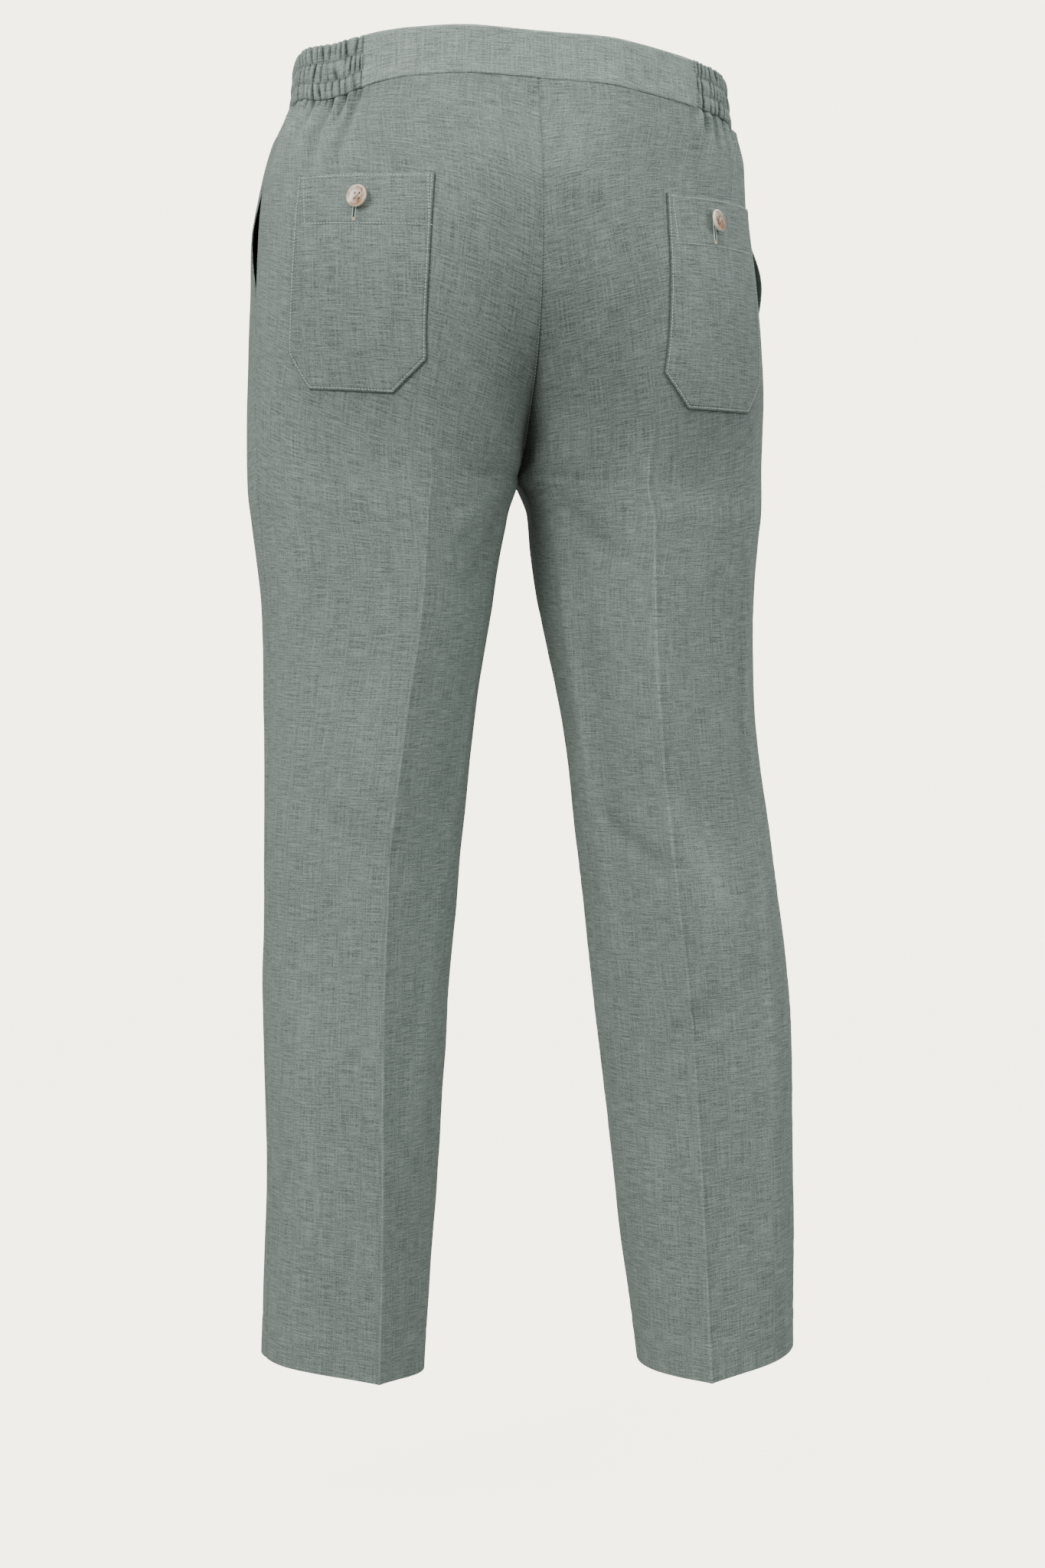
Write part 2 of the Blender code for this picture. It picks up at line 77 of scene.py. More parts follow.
WAIST_DIP = {"left": 0.012, "right": 0.0}      # how far the waist seam sags on the elastic's back half
DIP_AT = 0.47             # where that is deepest, on the sections' parameter
DIP_WIDTH = 0.30
DIP_FOOT = -0.100         # level where it begins
HEM_ROLL = 0.11           # rise of a hem for each metre outwards from the leg's middle
HEM_TILT = {"left": 0.05, "right": 0.09}       # drop of a hem for each metre to the back
HEM_REACH = -0.740        # level up to which a hem's slope is felt
ELASTIC = {"back": 0.70, "front": 0.66}        # where the elastic ends, on the sections' parameter
CHANNELS = 3              # rows of elastic
MOUTH_TOP = -0.075        # a side pocket's mouth, a stretch of the outseam left open, gapes between these
MOUTH_FOOT = -0.183
MOUTH_REACH = 0.40        # how far round the panel that goes, on the sections' parameter
MOUTH_OPEN = {"left": 1.0, "right": 2.0}       # how wide each one gapes, as a share of the size "gape"
POCKET_LIFT = 0.0007      # a back pocket lies this far off the panel
POCKET_TOP = -0.092
POCKET_SHOULDER = -0.215  # level where the lower corners are cut off
POCKET_FOOT = -0.241
POCKET_WIDTH = 0.110
CORNER_INNER = 0.028      # width of the cut corner on the seat seam's side
CORNER_OUTER = 0.020
POCKET_FROM_SEAM = {"left": 0.086, "right": 0.1105}      # from the seat seam to its inner edge, at the top
POCKET_SLANT = {"left": 0.0115, "right": -0.0095}        # how much more that is at the shoulder
POCKET_FLARE = 0.005      # how much wider a pocket lies at its shoulder
POCKET_RAISE = {"left": -0.0015, "right": 0.0005}        # how much higher each one sits
POCKET_RISE = {"left": 0.0045, "right": 0.010}           # how much higher again its top's outer corner is
BUTTON_RADIUS = 0.009
BUTTON_THICK = 0.0032
BUTTON_HOLE_PITCH = 0.0019                     # from the button's middle to a hole, along both of its axes
BUTTON_FROM_SEAM = {"left": 0.1465, "right": 0.158}
BUTTON_LEVEL = -0.1093
BAG_INSET = 0.0038        # a side pocket's facing hangs this far inside the panels' outer face
BAG_BACK = 0.16           # how far it reaches round the back and the front, on the sections' parameter
BAG_FRONT = 0.44
BAG_TOP = -0.0215
BAG_FOOT = -0.215
EYELET_OFF_CENTRE = 0.024
EYELET_SIZE = (0.0025, 0.014)                  # width and height of the drawstring's eyelets
ARC = 0.5523              # a quarter circle's Bezier handle, as a share of its radius

# A leg's half widths to the outseam and the inseam, its depths to the back and the front crease, and in
# degrees how far the cloth falls away beside a crease and how much more it does so towards the outseam.
Cut = namedtuple("Cut", "level out inn back front crease lean")
CUT = [
    Cut(-1.014, 0.066, 0.062, 0.080, 0.076, 40, 0),
    Cut(-0.888, 0.068, 0.066, 0.084, 0.078, 38, 0),
    Cut(-0.748, 0.073, 0.072, 0.089, 0.083, 35, 0),
    Cut(-0.608, 0.078, 0.077, 0.092, 0.090, 31, 0),
    Cut(-0.488, 0.085, 0.085, 0.098, 0.100, 26, 0),
    Cut(-0.388, 0.096, 0.096, 0.106, 0.112, 19, 0),
    Cut(-0.340, 0.1015, 0.102, 0.1105, 0.1175, 15, 1),
    Cut(-0.300, 0.106, 0.104, 0.114, 0.122, 12, 2),
    Cut(-0.228, 0.106, 0.104, 0.116, 0.126, 5, 8),
    Cut(-0.158, 0.102, 0.104, 0.106, 0.122, 0, 16),
    Cut(-0.088, 0.0948, 0.104, 0.086, 0.118, 0, 24),
    Cut(-0.050, 0.0862, 0.104, 0.077, 0.114, 0, 24),
    Cut(-0.020, 0.0745, 0.104, 0.071, 0.112, 0, 22),
    Cut(0.018, 0.072, 0.100, 0.070, 0.112, 0, 22),
]
# Where each leg stands: its middle, how far it is turned out in degrees, and how much wider and flatter it
# lies than it is cut.
Line = namedtuple("Line", "level x y turn fill")
LINES = {
    "left": [
        Line(-1.014, 0.139, 0.010, 8, 1.03),
        Line(-0.888, 0.133, 0.008, 5, 1.02),
        Line(-0.748, 0.128, 0.003, 2, 1.02),
        Line(-0.608, 0.121, 0.000, 1, 1.02),
        Line(-0.488, 0.113, -0.004, 4, 1.00),
        Line(-0.388, 0.106, -0.008, 7, 0.99),
        Line(-0.333, 0.106, -0.010, 8, 0.98),
        Line(-0.300, 0.102, -0.010, 7, 1.00),
        Line(-0.228, 0.102, -0.006, 4, 1.00),
        Line(-0.158, 0.104, 0.000, 2, 1.00),
        Line(-0.088, 0.106, 0.004, 0, 1.00),
        Line(-0.020, 0.1015, 0.008, 0, 1.00),
        Line(0.018, 0.100, 0.008, 0, 1.00),
    ],
    "right": [
        Line(-1.014, 0.159, 0.055, 18, 1.00),
        Line(-0.888, 0.154, 0.045, 17, 1.08),
        Line(-0.748, 0.149, 0.030, 17, 1.10),
        Line(-0.608, 0.137, 0.016, 17, 1.03),
        Line(-0.488, 0.125, 0.004, 15, 0.94),
        Line(-0.388, 0.117, -0.006, 12, 0.94),
        Line(-0.333, 0.115, -0.010, 11, 0.96),
        Line(-0.300, 0.108, -0.010, 10, 1.00),
        Line(-0.228, 0.107, -0.006, 6, 1.00),
        Line(-0.158, 0.105, 0.000, 2, 1.00),
        Line(-0.088, 0.102, 0.004, 0, 1.00),
        Line(-0.020, 0.1075, 0.008, 0, 1.00),
        Line(0.018, 0.105, 0.008, 0, 1.00),
    ],
}
# The rise: how far behind the origin its back and front seams are at heights above the fork, and how open
# they are in degrees.
Rise = namedtuple("Rise", "above back front open")
RISE = [
    Rise(0.000, 0.022, 0.022, 90),
    Rise(0.004, 0.033, 0.006, 84),
    Rise(0.012, 0.045, -0.012, 76),
    Rise(0.028, 0.057, -0.036, 62),
    Rise(0.050, 0.071, -0.062, 44),
    Rise(0.080, 0.089, -0.088, 26),
    Rise(0.115, 0.103, -0.110, 10),
    Rise(0.150, 0.110, -0.122, 3),
    Rise(0.200, 0.112, -0.128, 0),
    Rise(0.280, 0.096, -0.124, 0),
    Rise(0.318, 0.093, -0.123, 0),
]

# Folds listed for each panel: a soft ridge, or a trough where HEIGHT is below 0, from one place to
# another. ACROSS is the distance from the pressed crease, below 0 towards the outseam. BOW is how far it
# bends sideways.
Fold = namedtuple("Fold", "level across to_level to_across width height bow")
FOLDS = {
    ("left", "back"): [
        Fold(-0.270, -0.118, -0.420, -0.108, 0.007, 0.0018, 0.003),
        Fold(-0.300, -0.094, -0.450, -0.086, 0.009, -0.0013, 0.002),
        Fold(-0.310, 0.088, -0.400, 0.040, 0.010, -0.0022, 0.008),
        Fold(-0.306, 0.070, -0.350, 0.010, 0.009, 0.0014, 0.006),
        Fold(-0.400, 0.080, -0.640, 0.064, 0.008, 0.0018, 0.004),
        Fold(-0.600, 0.066, -0.880, 0.016, 0.011, 0.0018, 0.008),
        Fold(-0.560, -0.070, -0.620, 0.020, 0.016, -0.0014, 0.006),
        Fold(-0.680, -0.072, -0.930, -0.060, 0.012, 0.0015, 0.004),
        Fold(-0.860, -0.020, -0.990, -0.044, 0.010, -0.0010, 0.003),
        Fold(-0.470, -0.040, -0.560, -0.020, 0.012, 0.0011, 0.003),
    ],
    ("right", "back"): [
        Fold(-0.270, -0.122, -0.560, -0.094, 0.007, 0.0020, 0.004),
        Fold(-0.330, -0.100, -0.640, -0.078, 0.008, -0.0016, 0.003),
        Fold(-0.540, -0.094, -0.960, -0.066, 0.007, 0.0018, 0.005),
        Fold(-0.306, 0.092, -0.720, 0.060, 0.007, 0.0020, 0.004),
        Fold(-0.320, 0.070, -0.600, 0.046, 0.010, -0.0014, 0.003),
        Fold(-0.308, 0.080, -0.370, 0.016, 0.010, -0.0020, 0.008),
        Fold(-0.555, -0.002, -0.700, -0.060, 0.019, 0.0030, 0.003),
        Fold(-0.566, 0.070, -0.620, -0.004, 0.009, -0.0022, 0.004),
        Fold(-0.720, -0.050, -0.760, 0.036, 0.014, -0.0014, 0.006),
        Fold(-0.800, 0.050, -0.980, 0.026, 0.010, 0.0013, 0.003),
    ],
    ("left", "front"): [
        Fold(-0.312, 0.100, -0.380, 0.020, 0.011, -0.0024, 0.008),
        Fold(-0.318, 0.080, -0.420, -0.010, 0.010, 0.0016, 0.006),
        Fold(-0.320, -0.100, -0.560, -0.086, 0.009, 0.0016, 0.004),
        Fold(-0.560, -0.060, -0.610, 0.040, 0.016, -0.0018, 0.006),
        Fold(-0.620, -0.050, -0.660, 0.050, 0.014, 0.0015, 0.006),
        Fold(-0.700, 0.050, -0.930, 0.034, 0.010, 0.0014, 0.004),
        Fold(-0.860, -0.050, -0.985, -0.030, 0.012, -0.0012, 0.003),
    ],
    ("right", "front"): [
        Fold(-0.312, 0.096, -0.390, 0.030, 0.011, -0.0022, 0.008),
        Fold(-0.316, 0.086, -0.450, 0.010, 0.010, 0.0017, 0.006),
        Fold(-0.300, -0.104, -0.600, -0.082, 0.009, 0.0015, 0.004),
        Fold(-0.545, -0.050, -0.600, 0.050, 0.016, -0.0017, 0.006),
        Fold(-0.640, -0.060, -0.690, 0.030, 0.015, 0.0014, 0.006),
        Fold(-0.740, -0.050, -0.960, -0.036, 0.010, 0.0013, 0.004),
    ],
}

# Shaded hollows beside the panels' inner seam: how dark, how far they reach from it, their level and height.
Shade = namedtuple("Shade", "sides faces dark reach level height")
SHADES = [
    Shade(SIDES, FACES, 0.70, 0.012, FORK + 0.012, 0.036),
    Shade(SIDES, FACES, 0.28, 0.0045, -0.235, 0.045),
    Shade(("left",), FACES, 0.32, 0.032, FORK + 0.010, 0.034),
    Shade(("right",), FACES, 0.45, 0.032, FORK + 0.010, 0.034),
    Shade(SIDES, ("back",), 0.16, 0.055, -0.215, 0.070),
]
PaintedHighlight = namedtuple("PaintedHighlight", "pale across width level height")
KNEE_PAINTED_HIGHLIGHT = PaintedHighlight(0.12, -0.028, 0.022, -0.622, 0.050)      # a painted highlight on the back of the right knee

PUCKER_PITCH = 0.0064     # between two valleys in the elastic
GATHER_PITCH = 0.0135     # between two long gathers under it
HEM_DEPTH = 0.030         # of the turned-up hem
POCKET_HEM = 0.0345       # of the pocket's turned-down top
TOPSTITCH = 0.0022        # from a pocket's edge to its stitching
BUTTONHOLE = (-0.1070, -0.1225)             # levels of its ends
BUTTONHOLE_HALF = 0.0005
CREASE_FADE = (-0.31, -0.235)               # levels between which the pressed creases die away
CHANNEL_HEIGHT = 0.0127   # of one row of elastic
WAIST_GAP = 0.00015       # half the gap between the panels and the waistband
BUTTON_TURN = {"left": 19, "right": 15}     # how far a button has turned outward on its shank, in degrees
SHANK = 0.0012            # gap between a pocket and its button
SHANK_LIFT = 0.000085     # how much more that is for each degree of the turn
FLOOR_CORNERS = 96

Sheet = namedtuple("Sheet", "level t points normals from_outseam from_crease from_end")
SHEETS = {}               # the cloth as it lies, by name, for what is sewn to it
MATERIALS = {}


# ---- the form ------------------------------------------------------------------------------------
def smooth(rows, column, at):
    """One column of a table at the values AT, on a smooth curve that never overshoots its rows."""
    x = np.array([row[0] for row in rows], float)
    y = np.array([getattr(row, column) for row in rows], float)
    step = np.diff(y) / np.diff(x)
    before, after = step[:-1], step[1:]
    same_way = before * after > 0
    middle = np.where(same_way, 2*before*after / np.where(same_way, before + after, 1), 0)
    slope = np.concatenate([step[:1], middle, step[-1:]])
    at = np.clip(at, x[0], x[-1])
    i = np.clip(np.searchsorted(x, at) - 1, 0, len(x) - 2)
    width = x[i + 1] - x[i]
    t = (at - x[i]) / width
    return ((2*t**3 - 3*t**2 + 1)*y[i] + (t**3 - 2*t**2 + t)*width*slope[i]
            + (3*t**2 - 2*t**3)*y[i + 1] + (t**3 - t**2)*width*slope[i + 1])


def ease(value, start, end):
    """0 below START, 1 above END and a smooth step between."""
    share = np.clip((value - start) / (end - start), 0, 1)
    return share*share*(3 - 2*share)


def bezier(p0, p1, p2, p3, t):
    """A cubic Bezier curve at T."""
    return (1 - t)**3*p0 + 3*(1 - t)**2*t*p1 + 3*(1 - t)*t**2*p2 + t**3*p3


def section(side, face, level, t, gape):
    """Half of a leg's outline, as complex numbers: x to the wearer's left and y to the back.

    Two cubic Bezier quarters meet at the pressed crease. T runs from 0 at the outseam by way of 1 at the
    crease to 2 at the inseam, or at the rise above the fork. GAPE is how far the edge stands off at the side
    pocket's mouth.
    """
    cut = {name: smooth(CUT, name, level) for name in Cut._fields[1:]}
    line = {name: smooth(LINES[side], name, level) for name in Line._fields[1:]}
    facing = 1 if face == "back" else -1
    out = cut["out"]*line["fill"]
    depth = cut[face] / line["fill"]
    outward = np.exp(1j*np.radians(line["turn"]))
    backward = 1j*facing*outward
    middle = line["x"] + 1j*line["y"]

    outseam = middle + outward*out
    crease = middle + backward*depth
    slope_out = np.radians(cut["crease"] + cut["lean"])
    slope_in = np.radians(cut["crease"] - cut["lean"])
    to_outseam = outward*np.exp(-1j*facing*slope_out)
    to_inner = -outward*np.exp(1j*facing*slope_in)
    outer = bezier(
        outseam, outseam + backward*ARC*depth, crease + to_outseam*ARC*out, crease, np.minimum(t, 1))

    inseam = middle - outward*cut["inn"]*line["fill"]
    join = ease(level, FORK - FORK_TURN, FORK)
    meet = ease(level, FORK - FORK_CLOSE, FORK)
    low_end = inseam.real*(1 - meet) + 1j*(inseam.imag*(1 - join) + FORK_DEPTH*join)
    low_way = backward*(1 - join) + 1j*facing*join
    above = level - FORK
    high_end = 1j*smooth(RISE, face, above)
    opening = np.radians(smooth(RISE, "open", above))
    high_way = np.cos(opening) + 1j*facing*np.sin(opening)
    high_pull = np.abs(crease.imag - high_end.imag)*np.sin(opening) + crease.real*np.cos(opening)
    low_pull = depth*(1 - join) + np.abs(crease.imag - FORK_DEPTH)*join
    hips = above > 0
    end = np.where(hips, high_end, low_end)
    way = np.where(hips, high_way, low_way / np.abs(low_way))
    pull = np.where(hips, high_pull, low_pull)
    width = np.abs(crease.real - end.real)
    inner = bezier(crease, crease + to_inner*ARC*width, end + way*ARC*pull, end, np.maximum(t, 1) - 1)

    outline = np.where(t <= 1, outer, inner)
    up_mouth = np.clip((level - MOUTH_FOOT) / (MOUTH_TOP - MOUTH_FOOT), 0, 1)
    return outline + outward*gape*np.sin(math.pi*up_mouth)**2*np.clip(1 - t/MOUTH_REACH, 0, 1)**2


def surface(side, face, level, t, gape=0.0):
    """Points of a panel's outer face for every pair of LEVEL and T, as an array of rows."""
    level = np.asarray(level, float)
    t = np.asarray(t, float)
    level, t = np.broadcast_arrays(level.reshape(len(level), -1), t.reshape(-1, t.shape[-1]))
    outline = section(side, face, level, t, gape)
    x = outline.real + SEAM/2
    y = outline.imag
    line_x = smooth(LINES[side], "x", level)
    line_y = smooth(LINES[side], "y", level)
    low = 1 - ease(level, HEM, HEM_REACH)
    hips = ease(level, ROLL_FOOT, ROLL_TOP)
    waist = ease(level, TILT_FOOT, BAND_FOOT)
    hem = HEM_ROLL*(x - line_x) - HEM_TILT[side]*(y - line_y)
    if side == "right":
        x = -x
    round_back = t if face == "back" else -t
    dip = WAIST_DIP[side]*np.exp(-((round_back - DIP_AT) / DIP_WIDTH)**2)*ease(level, DIP_FOOT, BAND_FOOT)
    dip = dip*(1 - 0.5*ease(level, BAND_FOOT, BAND_TOP))
    z = level + low*hem + hips*WAIST_ROLL*x + waist*WAIST_TILT*y - dip
    return np.stack([x, y, z], axis=-1)


def normals(side, face, level, t, gape=0.0):
    """Outward unit normals of a panel, from the surface a little further along both ways."""
    nudge = 1e-4
    level = np.asarray(level, float).reshape(len(level), -1)
    t = np.asarray(t, float)
    along = surface(side, face, level, t + nudge, gape) - surface(side, face, level, t - nudge, gape)
    upward = surface(side, face, level + nudge, t, gape) - surface(side, face, level - nudge, t, gape)
    normal = np.cross(along, upward)
    if turned(side, face):
        normal = -normal
    return unit(normal)


def turned(side, face):
    """Whether a panel's rows and columns run so that its outer face would point in."""
    return (side == "right") != (face == "front")


def round_outseam(side, level, back, front):
    """Points and normals of a strip across the outseam, from the back panel's columns to the front's."""
    columns = (("back", back), ("front", front))
    points = np.concatenate([surface(side, face, level, t) for face, t in columns], axis=1)
    outward = np.concatenate([normals(side, face, level, t) for face, t in columns], axis=1)
    return points, outward


def both_sides(left, right):
    """Joins the left half's columns to the right half's through one column in the middle."""
    middle = (left[:, -1:] + right[:, -1:]) / 2
    return np.concatenate([left[:, :-1], middle, right[:, -2::-1]], axis=1)


# ---- arrays --------------------------------------------------------------------------------------
def unit(vectors):
    """The same directions, each one long."""
    return vectors / np.linalg.norm(vectors, axis=-1, keepdims=True)


def run_along(path):
    """Distance along a path at each of its points."""
    return np.concatenate([[0], np.cumsum(np.linalg.norm(np.diff(path, axis=0), axis=1))])


def path_length(path):
    """The whole length of a path."""
    return np.sum(np.linalg.norm(np.diff(path, axis=0), axis=1))


def bump(distance, width):
    """1 at 0, falling to nothing either side in a bell of that width."""
    return np.exp(-(distance / width)**2)


def noise(x, y, seed):
    """Smooth random heights, mostly from -1 to 1: gradient noise on a lattice of one unit."""
    angle = np.random.default_rng(seed).uniform(0, 2*math.pi, (64, 64))
    x, y = np.broadcast_arrays(np.asarray(x, float), np.asarray(y, float))
    left, low = np.floor(x).astype(int), np.floor(y).astype(int)
    right, up = x - left, y - low

    def corner(dx, dy):
        turn = angle[(left + dx) % 64, (low + dy) % 64]
        return np.cos(turn)*(right - dx) + np.sin(turn)*(up - dy)

    share_x = right**3*(right*(right*6 - 15) + 10)
    share_y = up**3*(up*(up*6 - 15) + 10)
    foot = corner(0, 0)*(1 - share_x) + corner(1, 0)*share_x
    top = corner(0, 1)*(1 - share_x) + corner(1, 1)*share_x
    return 1.5*(foot*(1 - share_y) + top*share_y)


def spaced(*stops):
    """Values from stop to stop. Each after the first is a pair: where it is, and the steps that lead to it."""
    values = [np.array([stops[0]])]
    for end, steps in stops[1:]:
        values.append(np.linspace(values[-1][-1], end, steps + 1)[1:])
    return np.concatenate(values)


def lay_out(points, outward, level, t):
    """A sheet with the distances along its rows from the outseam, the crease and the far end."""
    steps = np.linalg.norm(np.diff(points, axis=1), axis=-1)
    run = np.concatenate([np.zeros((len(points), 1)), np.cumsum(steps, axis=1)], axis=1)
    crease = np.argmin(np.abs(t - 1))
    return Sheet(level, t, points, outward, run, run - run[:, crease:crease + 1], run[:, -1:] - run)


def find(sheet, level, distance):
    """Row and column, in fractions, of places at LEVEL and at DISTANCE from the sheet's far end."""
    row = np.interp(level, sheet.level, np.arange(len(sheet.level)))
    low = np.clip(row.astype(int), 0, len(sheet.level) - 2)
    share = (row - low)[..., None]
    run = sheet.from_end[low]*(1 - share) + sheet.from_end[low + 1]*share
    column = np.clip(np.sum(run >= distance[..., None], axis=-1) - 1, 0, run.shape[-1] - 2)[..., None]
    here = np.take_along_axis(run, column, axis=-1)[..., 0]
    beside = np.take_along_axis(run, column + 1, axis=-1)[..., 0]
    return row, column[..., 0] + (here - distance) / (here - beside)


def on_sheet(sheet, row, column):
    """Points of a sheet and its normals at rows and columns in fractions."""
    row, column = np.broadcast_arrays(np.asarray(row, float), np.asarray(column, float))
    low = np.clip(np.floor(row).astype(int), 0, sheet.points.shape[0] - 2)
    left = np.clip(np.floor(column).astype(int), 0, sheet.points.shape[1] - 2)
    up, right = (row - low)[..., None], (column - left)[..., None]

    def at(values):
        foot = values[low, left]*(1 - right) + values[low, left + 1]*right
        top = values[low + 1, left]*(1 - right) + values[low + 1, left + 1]*right
        return foot*(1 - up) + top*up

    return at(sheet.points), unit(at(sheet.normals))


# ---- meshes --------------------------------------------------------------------------------------
def make_mesh(name, points, faces, finish, cut=None, marks=None):
    """An object from arrays of points and of four-cornered faces.

    CUT is each point's place on the flat cloth, in metres, for the weave. MARKS are numbers for each point,
    by the name under which a material reads them.
    """
    mesh = bpy.data.meshes.new(name)
    mesh.vertices.add(len(points))
    mesh.vertices.foreach_set("co", points.astype(np.float32).ravel())
    mesh.loops.add(faces.size)
    mesh.loops.foreach_set("vertex_index", faces.astype(np.int32).ravel())
    mesh.polygons.add(len(faces))
    mesh.polygons.foreach_set("loop_start", np.arange(0, faces.size, 4, dtype=np.int32))
    mesh.update(calc_edges=True)
    if cut is not None:
        layer = mesh.uv_layers.new(name="cut")
        layer.uv.foreach_set("vector", cut[faces.ravel()].astype(np.float32).ravel())
    for mark, values in (marks or {}).items():
        attribute = mesh.attributes.new(mark, "FLOAT", "POINT")
        attribute.data.foreach_set("value", values.astype(np.float32).ravel())
    mesh.materials.append(finish)
    mesh.shade_smooth()
    mesh.set_sharp_from_angle(angle=math.radians(60))
    piece = bpy.data.objects.new(name, mesh)
    bpy.context.scene.collection.objects.link(piece)
    return piece


def grid_faces(rows, columns):
    """The faces of a grid of points, as an array of rows and columns."""
    index = np.arange(rows*columns).reshape(rows, columns)
    return np.stack([index[:-1, :-1], index[:-1, 1:], index[1:, 1:], index[1:, :-1]], axis=-1)


def shell(name, outer, inner, flip, cut, press, finish, keep=None):
    """A wall of cloth between two sheets of points.

    Faces left out of KEEP are a slit, closed round like an edge. The rim is built on every edge of the outer
    sheet that only one face uses. The painted light and shade that it is given say how much lighter the
    cloth is painted at each point, or darker where they are below 0.
    """
    rows, columns = outer.shape[:2]
    count = rows*columns
    sheet = grid_faces(rows, columns)
    sheet = sheet.reshape(-1, 4) if keep is None else sheet[keep]
    start, end = sheet.ravel(), np.roll(sheet, -1, axis=1).ravel()
    alone = ~np.isin(start*count + end, end*count + start)
    start, end = start[alone], end[alone]
    rim = np.stack([end, start, start + count, end + count], axis=-1)
    faces = np.concatenate([sheet, sheet[:, ::-1] + count, rim])
    if flip:
        faces = faces[:, ::-1]
    points = np.concatenate([outer.reshape(-1, 3), inner.reshape(-1, 3)])
    cut = np.tile(cut.reshape(-1, 2), (2, 1))
    press = np.tile(np.broadcast_to(press, outer.shape[:2]).ravel(), 2)
    return make_mesh(name, points, faces, finish, cut, {"press": press})


def tubes(path, outward, radius, sides=6):
    """Points and faces of tubes along paths: arrays of (tubes, rings, 3). RADIUS is each ring's."""
    along = unit(np.gradient(path, axis=1))
    beside = unit(np.cross(along, outward))
    up = np.cross(beside, along)
    angle = np.linspace(0, 2*math.pi, sides, endpoint=False)
    ring = (np.cos(angle)[:, None]*beside[:, :, None] + np.sin(angle)[:, None]*up[:, :, None])
    points = path[:, :, None] + ring*np.asarray(radius)[..., None, None]
    count, rings = path.shape[:2]
    index = np.arange(count*rings*sides).reshape(count, rings, sides)
    after = np.roll(index, -1, axis=2)
    faces = np.stack([index[:, :-1], after[:, :-1], after[:, 1:], index[:, 1:]], axis=-1)
    return points.reshape(-1, 3), faces.reshape(-1, 4)


def joined(parts):
    """Points and faces of several parts as one."""
    offset = np.cumsum([0] + [len(points) for points, _ in parts])
    faces = [faces + start for (_, faces), start in zip(parts, offset[:-1], strict=True)]
    return np.concatenate([points for points, _ in parts]), np.concatenate(faces)


def trim(name, parts, finish):
    """An object of thread, from its parts' points and faces."""
    points, faces = joined(parts)
    piece = make_mesh(name, points, faces, MATERIALS[finish])
    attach(piece, "root")


def along_path(path, outward, at):
    """Points and normals at the distances AT along a path."""
    run = run_along(path)
    place = np.stack([np.interp(at, run, path[:, i]) for i in range(3)], axis=-1)
    normal = np.stack([np.interp(at, run, outward[:, i]) for i in range(3)], axis=-1)
    return place, unit(normal)


def stitches(path, outward, length, pitch, radius):
    """Points and faces of a row of stitches: short arched threads along a path, dipping into the cloth."""
    total = path_length(path)
    first = np.arange(pitch*0.3, total - length, pitch)
    first = first + np.random.default_rng(len(first)).uniform(-0.06, 0.06, len(first))*pitch
    share = np.array([0.0, 0.12, 0.5, 0.88, 1.0])
    place, normal = along_path(path, outward, first[:, None] + share*length)
    lift = radius*np.array([-0.9, 0.45, 0.85, 0.45, -0.9])
    thickness = radius*np.array([0.55, 0.95, 1.0, 0.95, 0.55])
    return tubes(place + normal*lift[:, None], normal, np.tile(thickness, (len(first), 1)))


def rope(path, outward, radius, twist, lift=0.0):
    """Points and faces of a worked edge: a thick thread whose turns show, TWIST apart."""
    total = path_length(path)
    at = np.linspace(0, total, max(8, int(total / twist * 5)))
    place, normal = along_path(path, outward, at)
    wave = 1 + 0.28*np.cos(2*math.pi*at/twist)
    closing = np.minimum(1, np.minimum(at, total - at)/radius + 0.3)
    return tubes((place + normal*lift)[None], normal[None], (radius*wave*closing)[None], sides=8)


# ---- relief of the cloth -------------------------------------------------------------------------
def seam_place(side, face, t):
    """Place along the waist seam, from the outseam, at each T: below 0 on the back."""
    fine = np.linspace(0, 2, 401)
    points = surface(side, face, [BAND_FOOT], fine)[0]
    run = run_along(points)
    return np.interp(t, fine, run)*(-1 if face == "back" else 1)


def seed_of(side, face="band"):
    """A number for each piece, to draw its own random shapes from."""
    return 10*SIDES.index(side) + (*FACES, "band").index(face)


def valleys(place, up, seed):
    """The puckers' beat: 1 in each sharp valley of the elastic, 0 midway between. UP counts the channels."""
    channel = np.clip(np.floor(up), 0, CHANNELS - 1)
    drift = 0.85*channel + 0.25*(up - channel)
    beat = place/PUCKER_PITCH + 0.80*noise(place/0.017, drift, seed)
    beat = beat + 0.20*noise(place/0.006, 2*drift, seed + 1)
    return 1 - 2*np.abs(beat - np.round(beat))


def crests(place, up, seed):
    """The puckers' height: 0 in a valley, and a round crest of 1 between two."""
    return np.sqrt(1 - valleys(place, up, seed)**2)


def elastic_share(side, place):
    """1 along the elastic, fading to 0 just past its ends."""
    back = seam_place(side, "back", ELASTIC["back"])
    front = seam_place(side, "front", ELASTIC["front"])
    return ease(place, back - 0.016, back + 0.004)*(1 - ease(place, front - 0.004, front + 0.016))


def waist_wave(side, place):
    """How far the waist seam wanders up and down along the elastic."""
    return 0.0009*noise(place/0.0075, 0.5, seed_of(side) + 40)*elastic_share(side, place)


